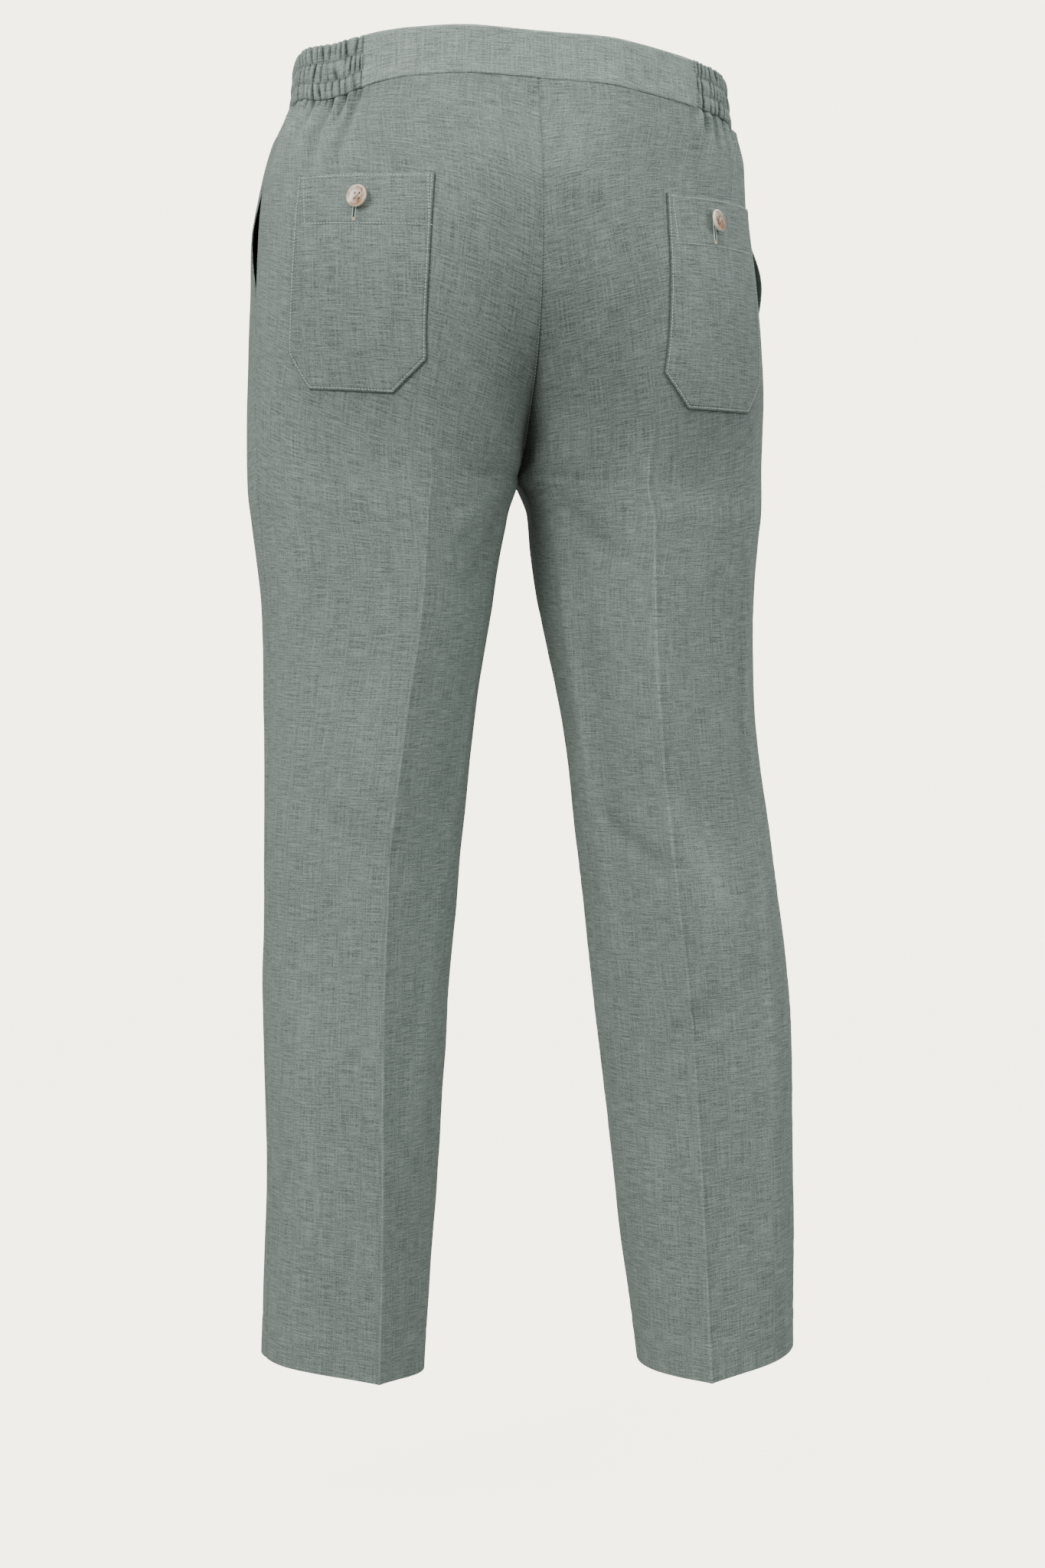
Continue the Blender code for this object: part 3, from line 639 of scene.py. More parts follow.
def gathers(side, place, below, depth):
    """Gathers hanging from the elastic: fine ones that end soon, and longer ones of uneven length."""
    seed = seed_of(side)
    share = elastic_share(side, place)
    start = 0.45 + 0.55*ease(below, 0, 0.004)
    fine = (crests(place, 0.0, seed) - 0.8)*0.75*bump(below, 0.012)
    rng = np.random.default_rng(seed + 60)
    centre = np.arange(-0.24, 0.24, GATHER_PITCH)
    centre = centre + rng.uniform(-0.42, 0.42, len(centre))*GATHER_PITCH
    length = rng.uniform(0.014, 0.062, len(centre))
    height = rng.uniform(0.45, 1.1, len(centre))
    lean = rng.uniform(-0.10, 0.10, len(centre))
    off = place[..., None] - centre - lean*below[..., None]
    width = 0.0024 + 0.055*below[..., None]
    ridge = (bump(off, width) - 0.6*bump(off - 1.9*width, width))*bump(below[..., None], length)
    return depth*share*start*(fine + np.sum(ridge*height, axis=-1))


def folds(side, face, level, across):
    """The listed folds of a panel: each a bell across its line, rising and dying away along it."""
    height = np.zeros(np.broadcast(level, across).shape)
    for fold in FOLDS[side, face]:
        start = fold.across + 1j*fold.level
        run = fold.to_across + 1j*fold.to_level - start
        place = (across + 1j*level - start) / run
        share = np.clip(place.real, 0, 1)
        off = place.imag*abs(run) - fold.bow*np.sin(math.pi*share)
        height += fold.height*np.sin(math.pi*share)**0.8*bump(off, fold.width*(0.7 + 0.5*share))
    return height


def panel_relief(side, face, base, sizes):
    """Height of a panel over the form, and how much lighter or darker its painted light and shade make it, with
    some wear on the crease.
    """
    seed = seed_of(side, face)
    level = base.level[:, None]
    across = base.from_crease
    seams = np.minimum(base.from_outseam, base.from_end)
    on_mouth = ease(level, MOUTH_FOOT - 0.004, MOUTH_FOOT + 0.004)
    on_mouth = on_mouth*(1 - ease(level, MOUTH_TOP - 0.004, MOUTH_TOP + 0.004))
    below = BAND_FOOT - level

    free = 1 - bump(seams, 0.008)
    crumple = 0.0006*noise(across/0.036, level/0.062, seed + 3)
    crumple = crumple + 0.00014*noise(across/0.013, level/0.024 + 0.3*across/0.013, seed + 5)
    crumple = crumple + 0.0016*noise(across/0.055, level/0.115 + 0.4, seed + 11)
    height = sizes.crumple*crumple*free*(0.35 + 0.65*ease(below, 0.04, 0.28))
    creased = sizes.fold*folds(side, face, level, across)
    height = height + creased*free

    outseam = bump(base.from_outseam, 0.0013)*(1 - on_mouth)
    height = height - 0.0008*(outseam + bump(base.from_end, 0.0011)) - 0.0003*bump(below, 0.0008)
    pull = 0.00022*noise(level/0.0055, 0.5, seed + 7)
    height = height + pull*(bump(base.from_outseam - 0.003, 0.004) + bump(base.from_end - 0.003, 0.004))

    ridge_share = 1 - ease(level, *CREASE_FADE)
    height = height + sizes.crease*ridge_share*bump(across, 0.0009)
    hem = level - HEM
    height = height + 0.00022*(1 - ease(hem, HEM_DEPTH - 0.001, HEM_DEPTH + 0.001))
    height = height - 0.00045*bump(hem - HEM_DEPTH, 0.0014)*(0.7 + 0.3*noise(across/0.008, 0.5, seed + 9))

    place = seam_place(side, face, base.t)[None, :]
    place, below = np.broadcast_arrays(place, below)
    gathered = gathers(side, place, np.maximum(below, 0), sizes.gather)
    height = height + gathered
    height = np.where(below < 0, -0.0032 - 0.0004*ease(-below, 0, 0.003), height)

    # A pale line along the pressed crease, part wear and part painted highlight, stronger on the right leg,
    # with painted shade just beside it.
    pale = 0.26 if side == "right" else 0.13 + 0.09*(1 - ease(level, -0.80, -0.55))
    press = pale*ridge_share*bump(across - 0.0004, 0.0009) - 0.08*ridge_share*bump(across + 0.0026, 0.0013)
    # Painted shade along the outseam, the inseam and seat seam, and the waist seam.
    press = press - 0.12*(outseam + bump(base.from_end, 0.0008) + bump(below, 0.0009))
    # A little lighter just above the hem's line, painted light on the gathers' ridges and painted shade in
    # their valleys.
    press = press + 0.05*bump(hem - HEM_DEPTH - 0.002, 0.002) + np.clip(120*gathered, -0.45, 0.12)
    # Painted shade at the gathers' roots under the elastic; painted light on fold ridges and painted shade in
    # fold troughs.
    roots = valleys(place, 0.0, seed_of(side))**2.4*elastic_share(side, place)
    press = press - 0.80*roots*bump(below, 0.0042) + np.clip(30*creased, -0.09, 0.17)
    for shade in SHADES:
        if side in shade.sides and face in shade.faces:
            near = bump(base.from_end, shade.reach)*bump(level - shade.level, shade.height)
            press = press - shade.dark*near
    # Painted shade over the seat's lower half, away from the hips.
    if face == "back":
        press = press - seat_painted_shade(level)*ease(base.from_outseam, 0.01, 0.10)
    # A painted highlight on the back of the right knee.
    if face == "back" and side == "right":
        knee = KNEE_PAINTED_HIGHLIGHT
        press = press + knee.pale*bump(across - knee.across, knee.width)*bump(level - knee.level, knee.height)
    return height, np.maximum(press, -0.80)


def seat_painted_shade(level):
    """How much painted shade darkens the seat's cloth, most on its lower half."""
    return 0.215*bump(level + 0.200, 0.105)


def weave_place(base, shift):
    """Each point's place on the flat cloth. The grain leans off the crease beside the seat seam."""
    level = base.level[:, None]
    lean = np.radians(15*ease(level, -0.40, -0.22) - 8*ease(level, -0.12, -0.03))
    place = (base.from_crease + 1j*(level + 0.22))*np.exp(1j*lean) + shift
    return np.stack([place.real, place.imag], axis=-1)


def cut_places(across, tall):
    """Places on the flat cloth, from the distances across it and up it."""
    return np.stack(np.broadcast_arrays(across, tall), axis=-1)


def cloth_piece(node, outer, inner, flip, cut, press, sheet, slot="linen", keep=None):
    """A piece of cloth in the frame, with the part it stands for and what it is cut from. SHEET, what it rides
    on, is not used.
    """
    piece = shell(node + "_cloth", outer, inner, flip, cut, press, MATERIALS[slot], keep)
    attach(piece, "root")
    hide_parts(node)


def panel_columns():
    """The panels' columns: close together at the seams and at the crease."""
    edge = [0.004, 0.012, 0.026]
    crease = [0.0035, 0.009, 0.018, 0.034]
    outer = np.concatenate([[0], edge, np.linspace(0.045, 0.948, 52), 1 - np.array(crease[::-1])])
    inner = np.concatenate([
        1 + np.array(crease), np.linspace(1.055, 1.955, 40), 2 - np.array(edge[::-1]), [2]])
    return np.concatenate([outer, [1], inner])


def leg_panel(side, face, sizes):
    """One leg panel. Its rows follow the form's sections from hem to waist seam, moved out by its relief."""
    level = spaced(
        HEM, (HEM + 0.04, 14), (-0.34, 150), (-0.27, 26), (-0.09, 46), (BAND_FOOT - WAIST_GAP, 40),
        (BAND_FOOT + 0.003, 2))
    t = panel_columns()
    gape = sizes.gape*MOUTH_OPEN[side] if face == "front" else 0
    points = surface(side, face, level, t, gape)
    outward = normals(side, face, level, t, gape)
    base = lay_out(points, outward, level, t)
    height, press = panel_relief(side, face, base, sizes)
    outer = points + outward*height[..., None]
    at_rise = bump(base.from_end, 0.0030)*(level > FORK)[:, None]
    outer[..., 0] = outer[..., 0]*(1 - at_rise) + points[..., 0]*at_rise
    outer[level > FORK, -1, 0] = 0
    place = seam_place(side, face, t)[None, :]
    near_waist = bump(BAND_FOOT - level, 0.006)[:, None]
    outer[..., 2] += waist_wave(side, place)*near_waist
    name = f"{face}_{side}"
    SHEETS[name] = base._replace(points=outer)
    cut = weave_place(base, seed_of(side, face)*(0.37 + 0.53j))
    inner = outer - outward*sizes.cloth
    cloth_piece(name, outer, inner, turned(side, face), cut, press, base)


def band_edges(up):
    """Rounding of a waistband at its folded top and at its seam. UP is the height over the seam."""
    return -0.0009*bump(BAND_HEIGHT - up, 0.0010) - 0.0005*bump(up, 0.0008)


def flat_band(face):
    """The waistband's flat stretch: a little rippled, rounded at its edges and drawn in at both ends."""
    start = ELASTIC[face]
    level = spaced(
        BAND_FOOT + WAIST_GAP, (BAND_FOOT + 0.004, 6), (-0.008, 5), (0.006, 14), (0.0145, 5), (BAND_TOP, 6))
    fine = np.linspace(0, 2, 1601)
    halves = {}
    for side in SIDES:
        run = np.abs(seam_place(side, face, fine))
        left_over = run[-1] - run
        begin = np.interp(start, fine, left_over)
        stops = [begin, begin - 0.0008, begin - 0.0020, begin - 0.0034]
        middle = np.linspace(begin - 0.0052, 0.0275, int((begin - 0.0327)/0.0019))
        slit = EYELET_SIZE[0]/2
        close = [EYELET_OFF_CENTRE + slit, EYELET_OFF_CENTRE - slit]
        distance = np.concatenate([stops, middle, close, np.linspace(0.0205, 0, 12)])
        halves[side] = np.interp(-distance, -left_over, fine)
    outer = both_sides(*(surface(side, face, level, halves[side]) for side in SIDES))
    outward = unit(both_sides(*(normals(side, face, level, halves[side]) for side in SIDES)))
    run = run_along(outer[3])
    columns = np.arange(len(run), dtype=float)
    base = lay_out(outer, outward, level, columns)
    along, end = run[None, :], run[-1]
    up = level[:, None] - BAND_FOOT
    ripple = 0.00035*noise(along/0.030, up/0.020, 71) + 0.00016*noise(along/0.010, up/0.012, 72)
    for off, slope in ((0.020, 0.5), (0.034, 0.8)):
        line = end - off - slope*(up - 0.015)
        ripple = ripple + 0.0014*bump(along - line, 0.0028)*bump(up - 0.016, 0.014)
    ends = np.minimum(along, end - along)
    height = 0.0004 + ripple + band_edges(up) - 0.0006*bump(ends - 0.0012, 0.0012)
    outer = outer + outward*height[..., None]
    keep = None
    if face == "front":
        x = np.abs(outer[..., 0])
        middle = (x[:-1, :-1] + x[1:, 1:])/2
        tall = (level[:-1] + level[1:])/2 - (BAND_FOOT + BAND_TOP)/2
        slit = (np.abs(middle - EYELET_OFF_CENTRE) < 0.0009) & (np.abs(tall)[:, None] < EYELET_SIZE[1]/2)
        keep = ~slit
    name = f"waistband_{face}"
    SHEETS[name] = base._replace(points=outer)
    # Painted light: the flat stretches painted a third lighter, as if lit from above, with a painted highlight
    # along the folded top and painted shade at the waist seam.
    press = 0.34 + 0.05*bump(up - 0.0375, 0.0016) - 0.25*bump(up, 0.0009)
    inner = outer - outward*0.0020
    cloth_piece(
        name, outer, inner, face == "front", cut_places(along, up) + 3.1, press, base,
        keep=keep)


def elastic_band(side, sizes):
    """An elasticated side: puckers in three puffed channels, drawn in at the stitched rows between them."""
    step = 0.00062
    places = {face: np.abs(seam_place(side, face, ELASTIC[face])) for face in FACES}
    fine = np.linspace(0, 1, 801)
    t = {}
    for face, end in places.items():
        at = np.linspace(0, end, int(end/step))
        t[face] = np.interp(at, np.abs(seam_place(side, face, fine)), fine)
    level = np.linspace(BAND_FOOT + WAIST_GAP, BAND_TOP, 49)
    back, front = t["back"][::-1], t["front"][1:]
    points, outward = round_outseam(side, level, back, front)
    place = np.concatenate([seam_place(side, "back", back), seam_place(side, "front", front)])[None, :]
    up = ((level - BAND_FOOT) / BAND_HEIGHT*CHANNELS)[:, None]
    part = np.clip(up % 1, 0.001, 0.999)
    swell = np.sin(math.pi*part)
    share = elastic_share(side, place)
    crest = crests(place, up, seed_of(side))
    depth = np.clip(0.75 + 0.55*noise(place/0.007, up*0.8, seed_of(side) + 2), 0.2, 1.1)
    valley = (0.35 + 0.65*swell**0.6)*depth
    height = 0.0006 + sizes.puff*swell**0.7 - sizes.pucker*valley*(1 - crest)*(0.35 + 0.65*share)
    height = height - 0.0007*bump(up*CHANNEL_HEIGHT, 0.0012)
    height = height - 0.0006*bump((CHANNELS - up)*CHANNEL_HEIGHT, 0.0008)
    outer = points + outward*height[..., None]
    near_waist = bump(level - BAND_FOOT, 0.006)[:, None]
    outer[..., 2] += waist_wave(side, place)*near_waist
    near_top = bump(BAND_TOP - level, 0.004)[:, None]
    outer[..., 2] += (0.0016*(crest - 0.8) + 0.0008*noise(place/0.011, 0.5, seed_of(side) + 8))*near_top
    inner = points + outward*(0.3*height - 0.0030)[..., None]
    inner[..., 2] = outer[..., 2]
    name = f"waistband_side_{side}"
    base = lay_out(points, outward, level, place[0])
    SHEETS[name] = base._replace(points=outer)
    cut = cut_places(1.5*place + 5.3, level[:, None])
    # Painted light and shade: the elastic a little lighter overall and on its swells, painted shade in the
    # puckers' valleys, at its foot and along the stitched rows between channels.
    sharp = valleys(place, up, seed_of(side))**2.2
    press = 0.15 - 1.25*sharp*valley - 0.50*bump(up, 0.08) + 0.06*swell
    for row in range(1, CHANNELS):
        press = press - 0.42*bump(up - row, 0.075)
    press = np.maximum(press, -0.82)
    cloth_piece(name, outer, inner, side == "left", cut, press, base)


def side_pocket(side):
    """The facing inside a side pocket's mouth, a strip that hangs just inside both panels."""
    level = np.linspace(BAG_FOOT, BAG_TOP - 0.002, 40)
    back = np.linspace(BAG_BACK, 0.02, 8)
    front = np.linspace(0, BAG_FRONT, 20)
    points, outward = round_outseam(side, level, back, front)
    across = np.arange(points.shape[1])*0.006
    ripple = 0.0005*noise(across/0.02, level[:, None]/0.04, seed_of(side) + 30)
    outer = points + outward*(ripple - BAG_INSET)[..., None]
    base = lay_out(points, outward, level, across)
    inner = outer - 0.0009*outward
    cut = cut_places(across, level[:, None]) + 7.7
    cloth_piece(
        f"side_pocket_{side}", outer, inner, side == "left", cut, 0.0, base,
        slot="linen_inside")


# ---- patch pockets -------------------------------------------------------------------------------
def pocket_corners(side):
    """A back pocket's six corners on its panel, each as distance from the seat seam + i times level."""
    start, slant = POCKET_FROM_SEAM[side], POCKET_SLANT[side]
    drop = (POCKET_TOP - POCKET_FOOT) / (POCKET_TOP - POCKET_SHOULDER)
    return np.array([
        start + 1j*POCKET_TOP,
        start + slant + 1j*POCKET_SHOULDER,
        start + slant*drop + CORNER_INNER + 1j*POCKET_FOOT,
        start + (slant + POCKET_FLARE)*drop + POCKET_WIDTH - CORNER_OUTER + 1j*POCKET_FOOT,
        start + slant + POCKET_FLARE + POCKET_WIDTH + 1j*POCKET_SHOULDER,
        start + POCKET_WIDTH + 1j*POCKET_TOP,
    ])


def pocket_level(side, level, outward):
    """Where a pocket's level lies on its panel. OUTWARD is 0 at its inner edge and 1 at its outer."""
    up = np.clip((level - POCKET_SHOULDER) / (POCKET_TOP - POCKET_SHOULDER), 0, 1)
    return level + POCKET_RAISE[side] + POCKET_RISE[side]*up*outward


def edge_distances(corners, place):
    """Distances in from each edge of a convex outline whose corners run anticlockwise."""
    run = np.roll(corners, -1) - corners
    return [
        (np.conj(step/abs(step))*(place - corner)).imag for corner, step in zip(corners, run, strict=True)]


def inset(corners, distance):
    """The corners of an outline moved in by DISTANCE from every edge."""
    way = np.roll(corners, -1) - corners
    way = way / np.abs(way)
    before = np.roll(way, 1)
    middle = 1j*(way + before)
    return corners + middle*distance / (np.abs(middle)**2 / 2)


def patch_pocket(side, sizes):
    """A back pocket: a hexagon of cloth, proud at its turned edges and drawn down at its stitching."""
    corners = pocket_corners(side)
    slit_top, slit_foot = BUTTONHOLE
    level = spaced(
        POCKET_FOOT, (POCKET_FOOT + 0.005, 8), (POCKET_SHOULDER, 14), (-0.130, 46), (slit_foot, 8),
        (slit_top, 15), (POCKET_TOP - 0.003, 8), (POCKET_TOP, 5))
    at_slit = (BUTTON_FROM_SEAM[side] - POCKET_FROM_SEAM[side]) / POCKET_WIDTH
    half = BUTTONHOLE_HALF / POCKET_WIDTH
    edge = np.array([0, 0.004, 0.009, 0.015, 0.021, 0.028, 0.036])
    share = np.concatenate([
        edge, np.linspace(0.048, 1 - at_slit - 3.4*half, 36), 1 - at_slit + half*np.array([-1, 1]),
        np.linspace(1 - at_slit + 3.4*half, 0.952, 40), 1 - edge[::-1]])
    cut_off = np.clip((POCKET_SHOULDER - level) / (POCKET_SHOULDER - POCKET_FOOT), 0, 1)
    down = (POCKET_TOP - level) / (POCKET_TOP - POCKET_SHOULDER)
    near = POCKET_FROM_SEAM[side] + POCKET_SLANT[side]*down
    far = near + POCKET_WIDTH + POCKET_FLARE*down - CORNER_OUTER*cut_off
    near = near + CORNER_INNER*cut_off
    distance = far[:, None]*(1 - share) + near[:, None]*share
    panel = SHEETS[f"back_{side}"]
    tall = np.broadcast_to(level[:, None], distance.shape)
    points, outward = on_sheet(panel, *find(panel, pocket_level(side, tall, 1 - share), distance))
    edges = edge_distances(corners, distance + 1j*tall)
    sewn = np.minimum.reduce(edges[:5])
    top = edges[5]

    hem = 1 - ease(top, POCKET_HEM - 0.0006, POCKET_HEM + 0.0006)
    seed = seed_of(side) + 80
    height = 0.0009 + 0.00030*noise(distance/0.028, tall/0.036, seed)*ease(sewn, 0.002, 0.012)
    height = height + 0.00016*noise(distance/0.010, tall/0.013, seed + 1)*ease(sewn, 0.002, 0.008)
    height = height + 0.00026*(1 - ease(sewn, 0.0085, 0.0115))*(1 - hem) + 0.00034*hem
    height = height - 0.00038*bump(sewn - TOPSTITCH, 0.0009) - 0.00032*bump(top - POCKET_HEM, 0.0010)
    height = height - 0.00030*bump(sewn - 0.0055, 0.0008)*hem
    height = height - 0.0006*bump(sewn, 0.0007) - 0.0004*bump(top, 0.0007)
    height = height + sizes.pocket_gape[side]*ease(sewn, 0.002, 0.045)*bump(top, 0.022)
    outer = points + outward*(POCKET_LIFT + height)[..., None]
    under = POCKET_LIFT + 0.00012 + 0.8*sizes.pocket_gape[side]*ease(sewn, 0.002, 0.045)*bump(top, 0.022)
    inner = points + outward*(under - 0.0004*bump(sewn, 0.001))[..., None]

    middle_share = (share[:-1] + share[1:])/2
    middle_level = (level[:-1] + level[1:])/2
    slit = (np.abs(middle_share - (1 - at_slit)) < half*0.9)[None, :]
    slit = slit & ((middle_level < slit_top) & (middle_level > slit_foot))[:, None]
    # Painted light and shade: a painted highlight just under the top edge and painted shade on it, a painted
    # shadow line along the inner side, the inner cut corner and the foot, painted shade beside the topstitching
    # and the hem's stitching, a faint darker line where the turned edge ends, and the seat's painted shade.
    shaded = np.minimum.reduce(edges[:3])
    press = 0.05*bump(top - 0.0010, 0.0010) - 0.20*bump(top, 0.0006) - 0.62*bump(shaded, 0.0008)
    press = press - 0.12*bump(sewn - TOPSTITCH - 0.0009, 0.0008)
    press = press - 0.10*bump(top - POCKET_HEM - 0.0008, 0.0008)
    press = press - 0.035*(1 - hem)*bump(sewn - 0.0105, 0.0012)
    press = press - (0.9 if side == "left" else 0.5)*seat_painted_shade(tall)
    name = f"pocket_back_{side}"
    base = Sheet(level, share, outer, outward, far[:, None] - distance, distance, distance)
    SHEETS[name] = base
    cloth_piece(
        name, outer, inner, turned(side, "back"), cut_places(-distance, tall) + seed*0.113, press,
        base._replace(points=points), keep=~slit)


# ---- stitching -----------------------------------------------------------------------------------
def line(start, end, step=0.0015):
    """Places from one complex number to another."""
    return np.linspace(start, end, max(2, int(abs(end - start)/step)))


def pocket_path(side, places):
    """Points and normals of places on a back pocket, each as distance from the seat seam + i times level."""
    sheet = SHEETS[f"pocket_back_{side}"]
    return on_sheet(sheet, *find(sheet, places.imag, places.real))


def panel_path(side, face, places):
    """The same on a panel: distance from its inner seam + i times level."""
    sheet = SHEETS[f"{face}_{side}"]
    return on_sheet(sheet, *find(sheet, places.imag, places.real))


def sew(name, rows, sizes, finish):
    """One object of stitch rows. Each row is (points, normals)."""
    trim(name, [stitches(*row, sizes.stitch, sizes.stitch_pitch, sizes.thread) for row in rows], finish)


def pocket_stitching(side, sizes):
    """A pocket's topstitching: round its sides and foot, along its hem, and twice down the hem's ends."""
    corners = pocket_corners(side)
    outline = inset(corners, TOPSTITCH)
    top = POCKET_TOP - 0.0006
    outline[0] = outline[0].real + 1j*top
    outline[5] = outline[5].real + 1j*top
    path = np.concatenate([line(a, b) for a, b in zip(outline[:-1], outline[1:], strict=True)])
    hem = POCKET_TOP - POCKET_HEM
    near = corners[0].real
    far = corners[5].real
    rows = [path, line(near + TOPSTITCH + 1j*hem, far - TOPSTITCH + 1j*hem)]
    for end, way in ((near, 1), (far, -1)):
        rows.append(line(end + way*0.0055 + 1j*top, end + way*0.0055 + 1j*hem))
    rows.append(line(near + 0.003 + 1j*(POCKET_TOP - TOPSTITCH), far - 0.003 + 1j*(POCKET_TOP - TOPSTITCH)))
    sew(f"pocket_stitching_{side}", [pocket_path(side, row) for row in rows], sizes, "thread")


def waist_stitching(side, sizes):
    """The elastic's stitched rows, and the upright ones where it meets the flat stretches."""
    sheet = SHEETS[f"waistband_side_{side}"]
    rows, columns = sheet.points.shape[:2]
    paths = []
    for channel in range(1, CHANNELS):
        at = np.arange(0, columns - 1, 1.5)
        row = np.full(len(at), channel*(rows - 1)/CHANNELS)
        paths.append(on_sheet(sheet, row, at))
    at = np.linspace(0.6, rows - 1.6, 60)
    for column in (2.0, columns - 3.0):
        paths.append(on_sheet(sheet, at, np.full(len(at), column)))
    sew(f"waist_stitching_{side}", paths, sizes, "seam_thread")


def seam_stitching(sizes):
    """What shows of the seams' thread: along the seat seam, and a short second row under the waistband."""
    top, foot = BAND_FOOT - 0.002, FORK + 0.02
    paths = [panel_path("left", "back", line(0.0012 + 1j*top, 0.0012 + 1j*foot))]
    paths.append(panel_path("left", "back", line(0.0080 + 1j*top, 0.0085 + 1j*(top - 0.030))))
    sew("seam_stitching", paths, sizes, "seam_thread")


# ---- buttons and buttonholes ---------------------------------------------------------------------
def button_frame(side):
    """Where a button sits on its pocket, turned a little on its shank, as a matrix whose Z points outward."""
    place = np.array([BUTTON_FROM_SEAM[side] + 1j*BUTTON_LEVEL])
    around = place + BUTTON_RADIUS*0.8*np.exp(1j*np.linspace(0, 2*math.pi, 8, endpoint=False))
    points, outward = pocket_path(side, np.concatenate([place, around]))
    normal = Vector(unit(outward.mean(axis=0)))
    seat = Vector(points.mean(axis=0)) + normal*(SHANK + BUTTON_THICK/2 + SHANK_LIFT*BUTTON_TURN[side])
    sign = 1 if side == "left" else -1
    normal = Matrix.Rotation(-sign*math.radians(BUTTON_TURN[side]), 3, "Z") @ normal
    sideways = Vector((0, 0, 1)).cross(normal).normalized()
    axes = Matrix((sideways, normal.cross(sideways), normal)).transposed()
    return Matrix.Translation(seat) @ axes.to_4x4()


def placed(matrix, points):
    """Points moved by a matrix."""
    matrix = np.array(matrix)
    return points @ matrix[:3, :3].T + matrix[:3, 3]


def button(side):
    """A four-hole button: a profile turned round its axis, dished inside a round rim, with holes sunk in."""
    half = BUTTON_THICK/2
    profile = np.array([
        (0.02, -0.95), (0.55, -0.98), (0.82, -0.85), (0.94, -0.55), (0.99, -0.20), (1.00, 0.15),
        (0.985, 0.50), (0.955, 0.78), (0.91, 0.96), (0.86, 1.00), (0.81, 0.96), (0.76, 0.82), (0.70, 0.60),
        (0.63, 0.42), (0.56, 0.33), (0.50, 0.29), (0.44, 0.27), (0.39, 0.26), (0.34, 0.26), (0.29, 0.26),
        (0.245, 0.26), (0.20, 0.26), (0.155, 0.26), (0.11, 0.26), (0.06, 0.26), (0.0, 0.26)])
    angle = np.linspace(0, 2*math.pi, 73)
    radius = profile[:, :1]*BUTTON_RADIUS
    x, y = radius*np.cos(angle), radius*np.sin(angle)
    z = profile[:, 1:]*half + 0*x
    holes = np.zeros(x.shape)
    for hole_x in (-BUTTON_HOLE_PITCH, BUTTON_HOLE_PITCH):
        for hole_y in (-BUTTON_HOLE_PITCH, BUTTON_HOLE_PITCH):
            away = np.hypot(x - hole_x, y - hole_y)
            holes = np.maximum(holes, np.exp(-(away/0.00095)**6))
    holes = np.where(profile[:, 1:] > 0, holes, 0)
    z = z - 0.0016*holes
    frame_of = button_frame(side)
    points = placed(frame_of, np.stack([x, y, z], axis=-1).reshape(-1, 3))
    faces = grid_faces(*x.shape).reshape(-1, 4)
    ridge_share = ease(radius/BUTTON_RADIUS, 0.80, 0.92) + 0*x
    # More brown towards the button's lower right, as painted shade, and more on the right button, whose horn is
    # browner.
    cloud = 1.15*ease((x - y)/BUTTON_RADIUS, -0.75, 1.05) + (0.35 if side == "right" else 0.10)
    # The marks: the holes, painted almost black as shade; the rim; and how much brown, more to the lower right
    # as painted shade.
    marks = {"hole": holes, "rim": ridge_share, "cloud": cloud}
    piece = make_mesh(f"button_{side}_turned", points, faces, MATERIALS["horn"], marks=marks)
    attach(piece, "root")
    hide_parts(f"button_{side}")
    return frame_of


def button_thread(side, frame_of):
    """The thread that holds a button: a cross over its face and a shank under it."""
    reach = BUTTON_HOLE_PITCH
    top = BUTTON_THICK/2*0.26
    share = np.linspace(0, 1, 9)
    paths = []
    for way in (1, -1):
        for off in (-0.00022, 0.00022):
            x = (2*share - 1)*reach + off
            y = way*(2*share - 1)*reach - way*off
            z = top - 0.0007 + 0.0012*np.sin(math.pi*share)**0.45 + (0.00035 if way > 0 else 0)
            paths.append(np.stack([x, y, z], axis=-1))
    for x in (-0.0009, 0, 0.0009):
        z = -BUTTON_THICK/2 - 0.0016 + 0.0020*share
        paths.append(np.stack([x + 0*share, 0*share, z], axis=-1))
    path = placed(frame_of, np.array(paths))
    outward = np.broadcast_to(np.array(frame_of)[:3, 1] + 0.3*np.array(frame_of)[:3, 2], path.shape)
    radius = np.full(path.shape[:2], 0.00026)
    radius[4:] = 0.0006
    trim(f"button_thread_{side}", [tubes(path, outward, radius)], "tack")


def buttonhole(side):
    """A buttonhole's worked edges down both sides of its slit, and the tack across its foot."""
    slit_top, slit_foot = BUTTONHOLE
    outward = (BUTTON_FROM_SEAM[side] - POCKET_FROM_SEAM[side]) / POCKET_WIDTH
    lean = (POCKET_SLANT[side] + POCKET_FLARE*outward) / (POCKET_TOP - POCKET_SHOULDER)
    level = np.linspace(slit_top + 0.0006, slit_foot - 0.0004, 40)
    middle = BUTTON_FROM_SEAM[side] + lean*(POCKET_TOP - level)
    parts = []
    for way in (-1, 1):
        path, outward = pocket_path(side, middle + way*0.00105 + 1j*level)
        parts.append(rope(path, outward, 0.00050, 0.0007, lift=0.0001))
    trim(f"buttonhole_{side}", parts, "thread")
    ends = []
    for row in (0, 1, 2):
        at = slit_foot - 0.0008 - 0.0007*row
        across = line(middle[-1] - 0.0016 + 1j*at, middle[-1] + 0.0016 + 1j*at, 0.0004)
        path, outward = pocket_path(side, across)
        ends.append(rope(path, outward, 0.00045, 0.0009, lift=0.0002))
    trim(f"bartack_{side}", ends, "tack")


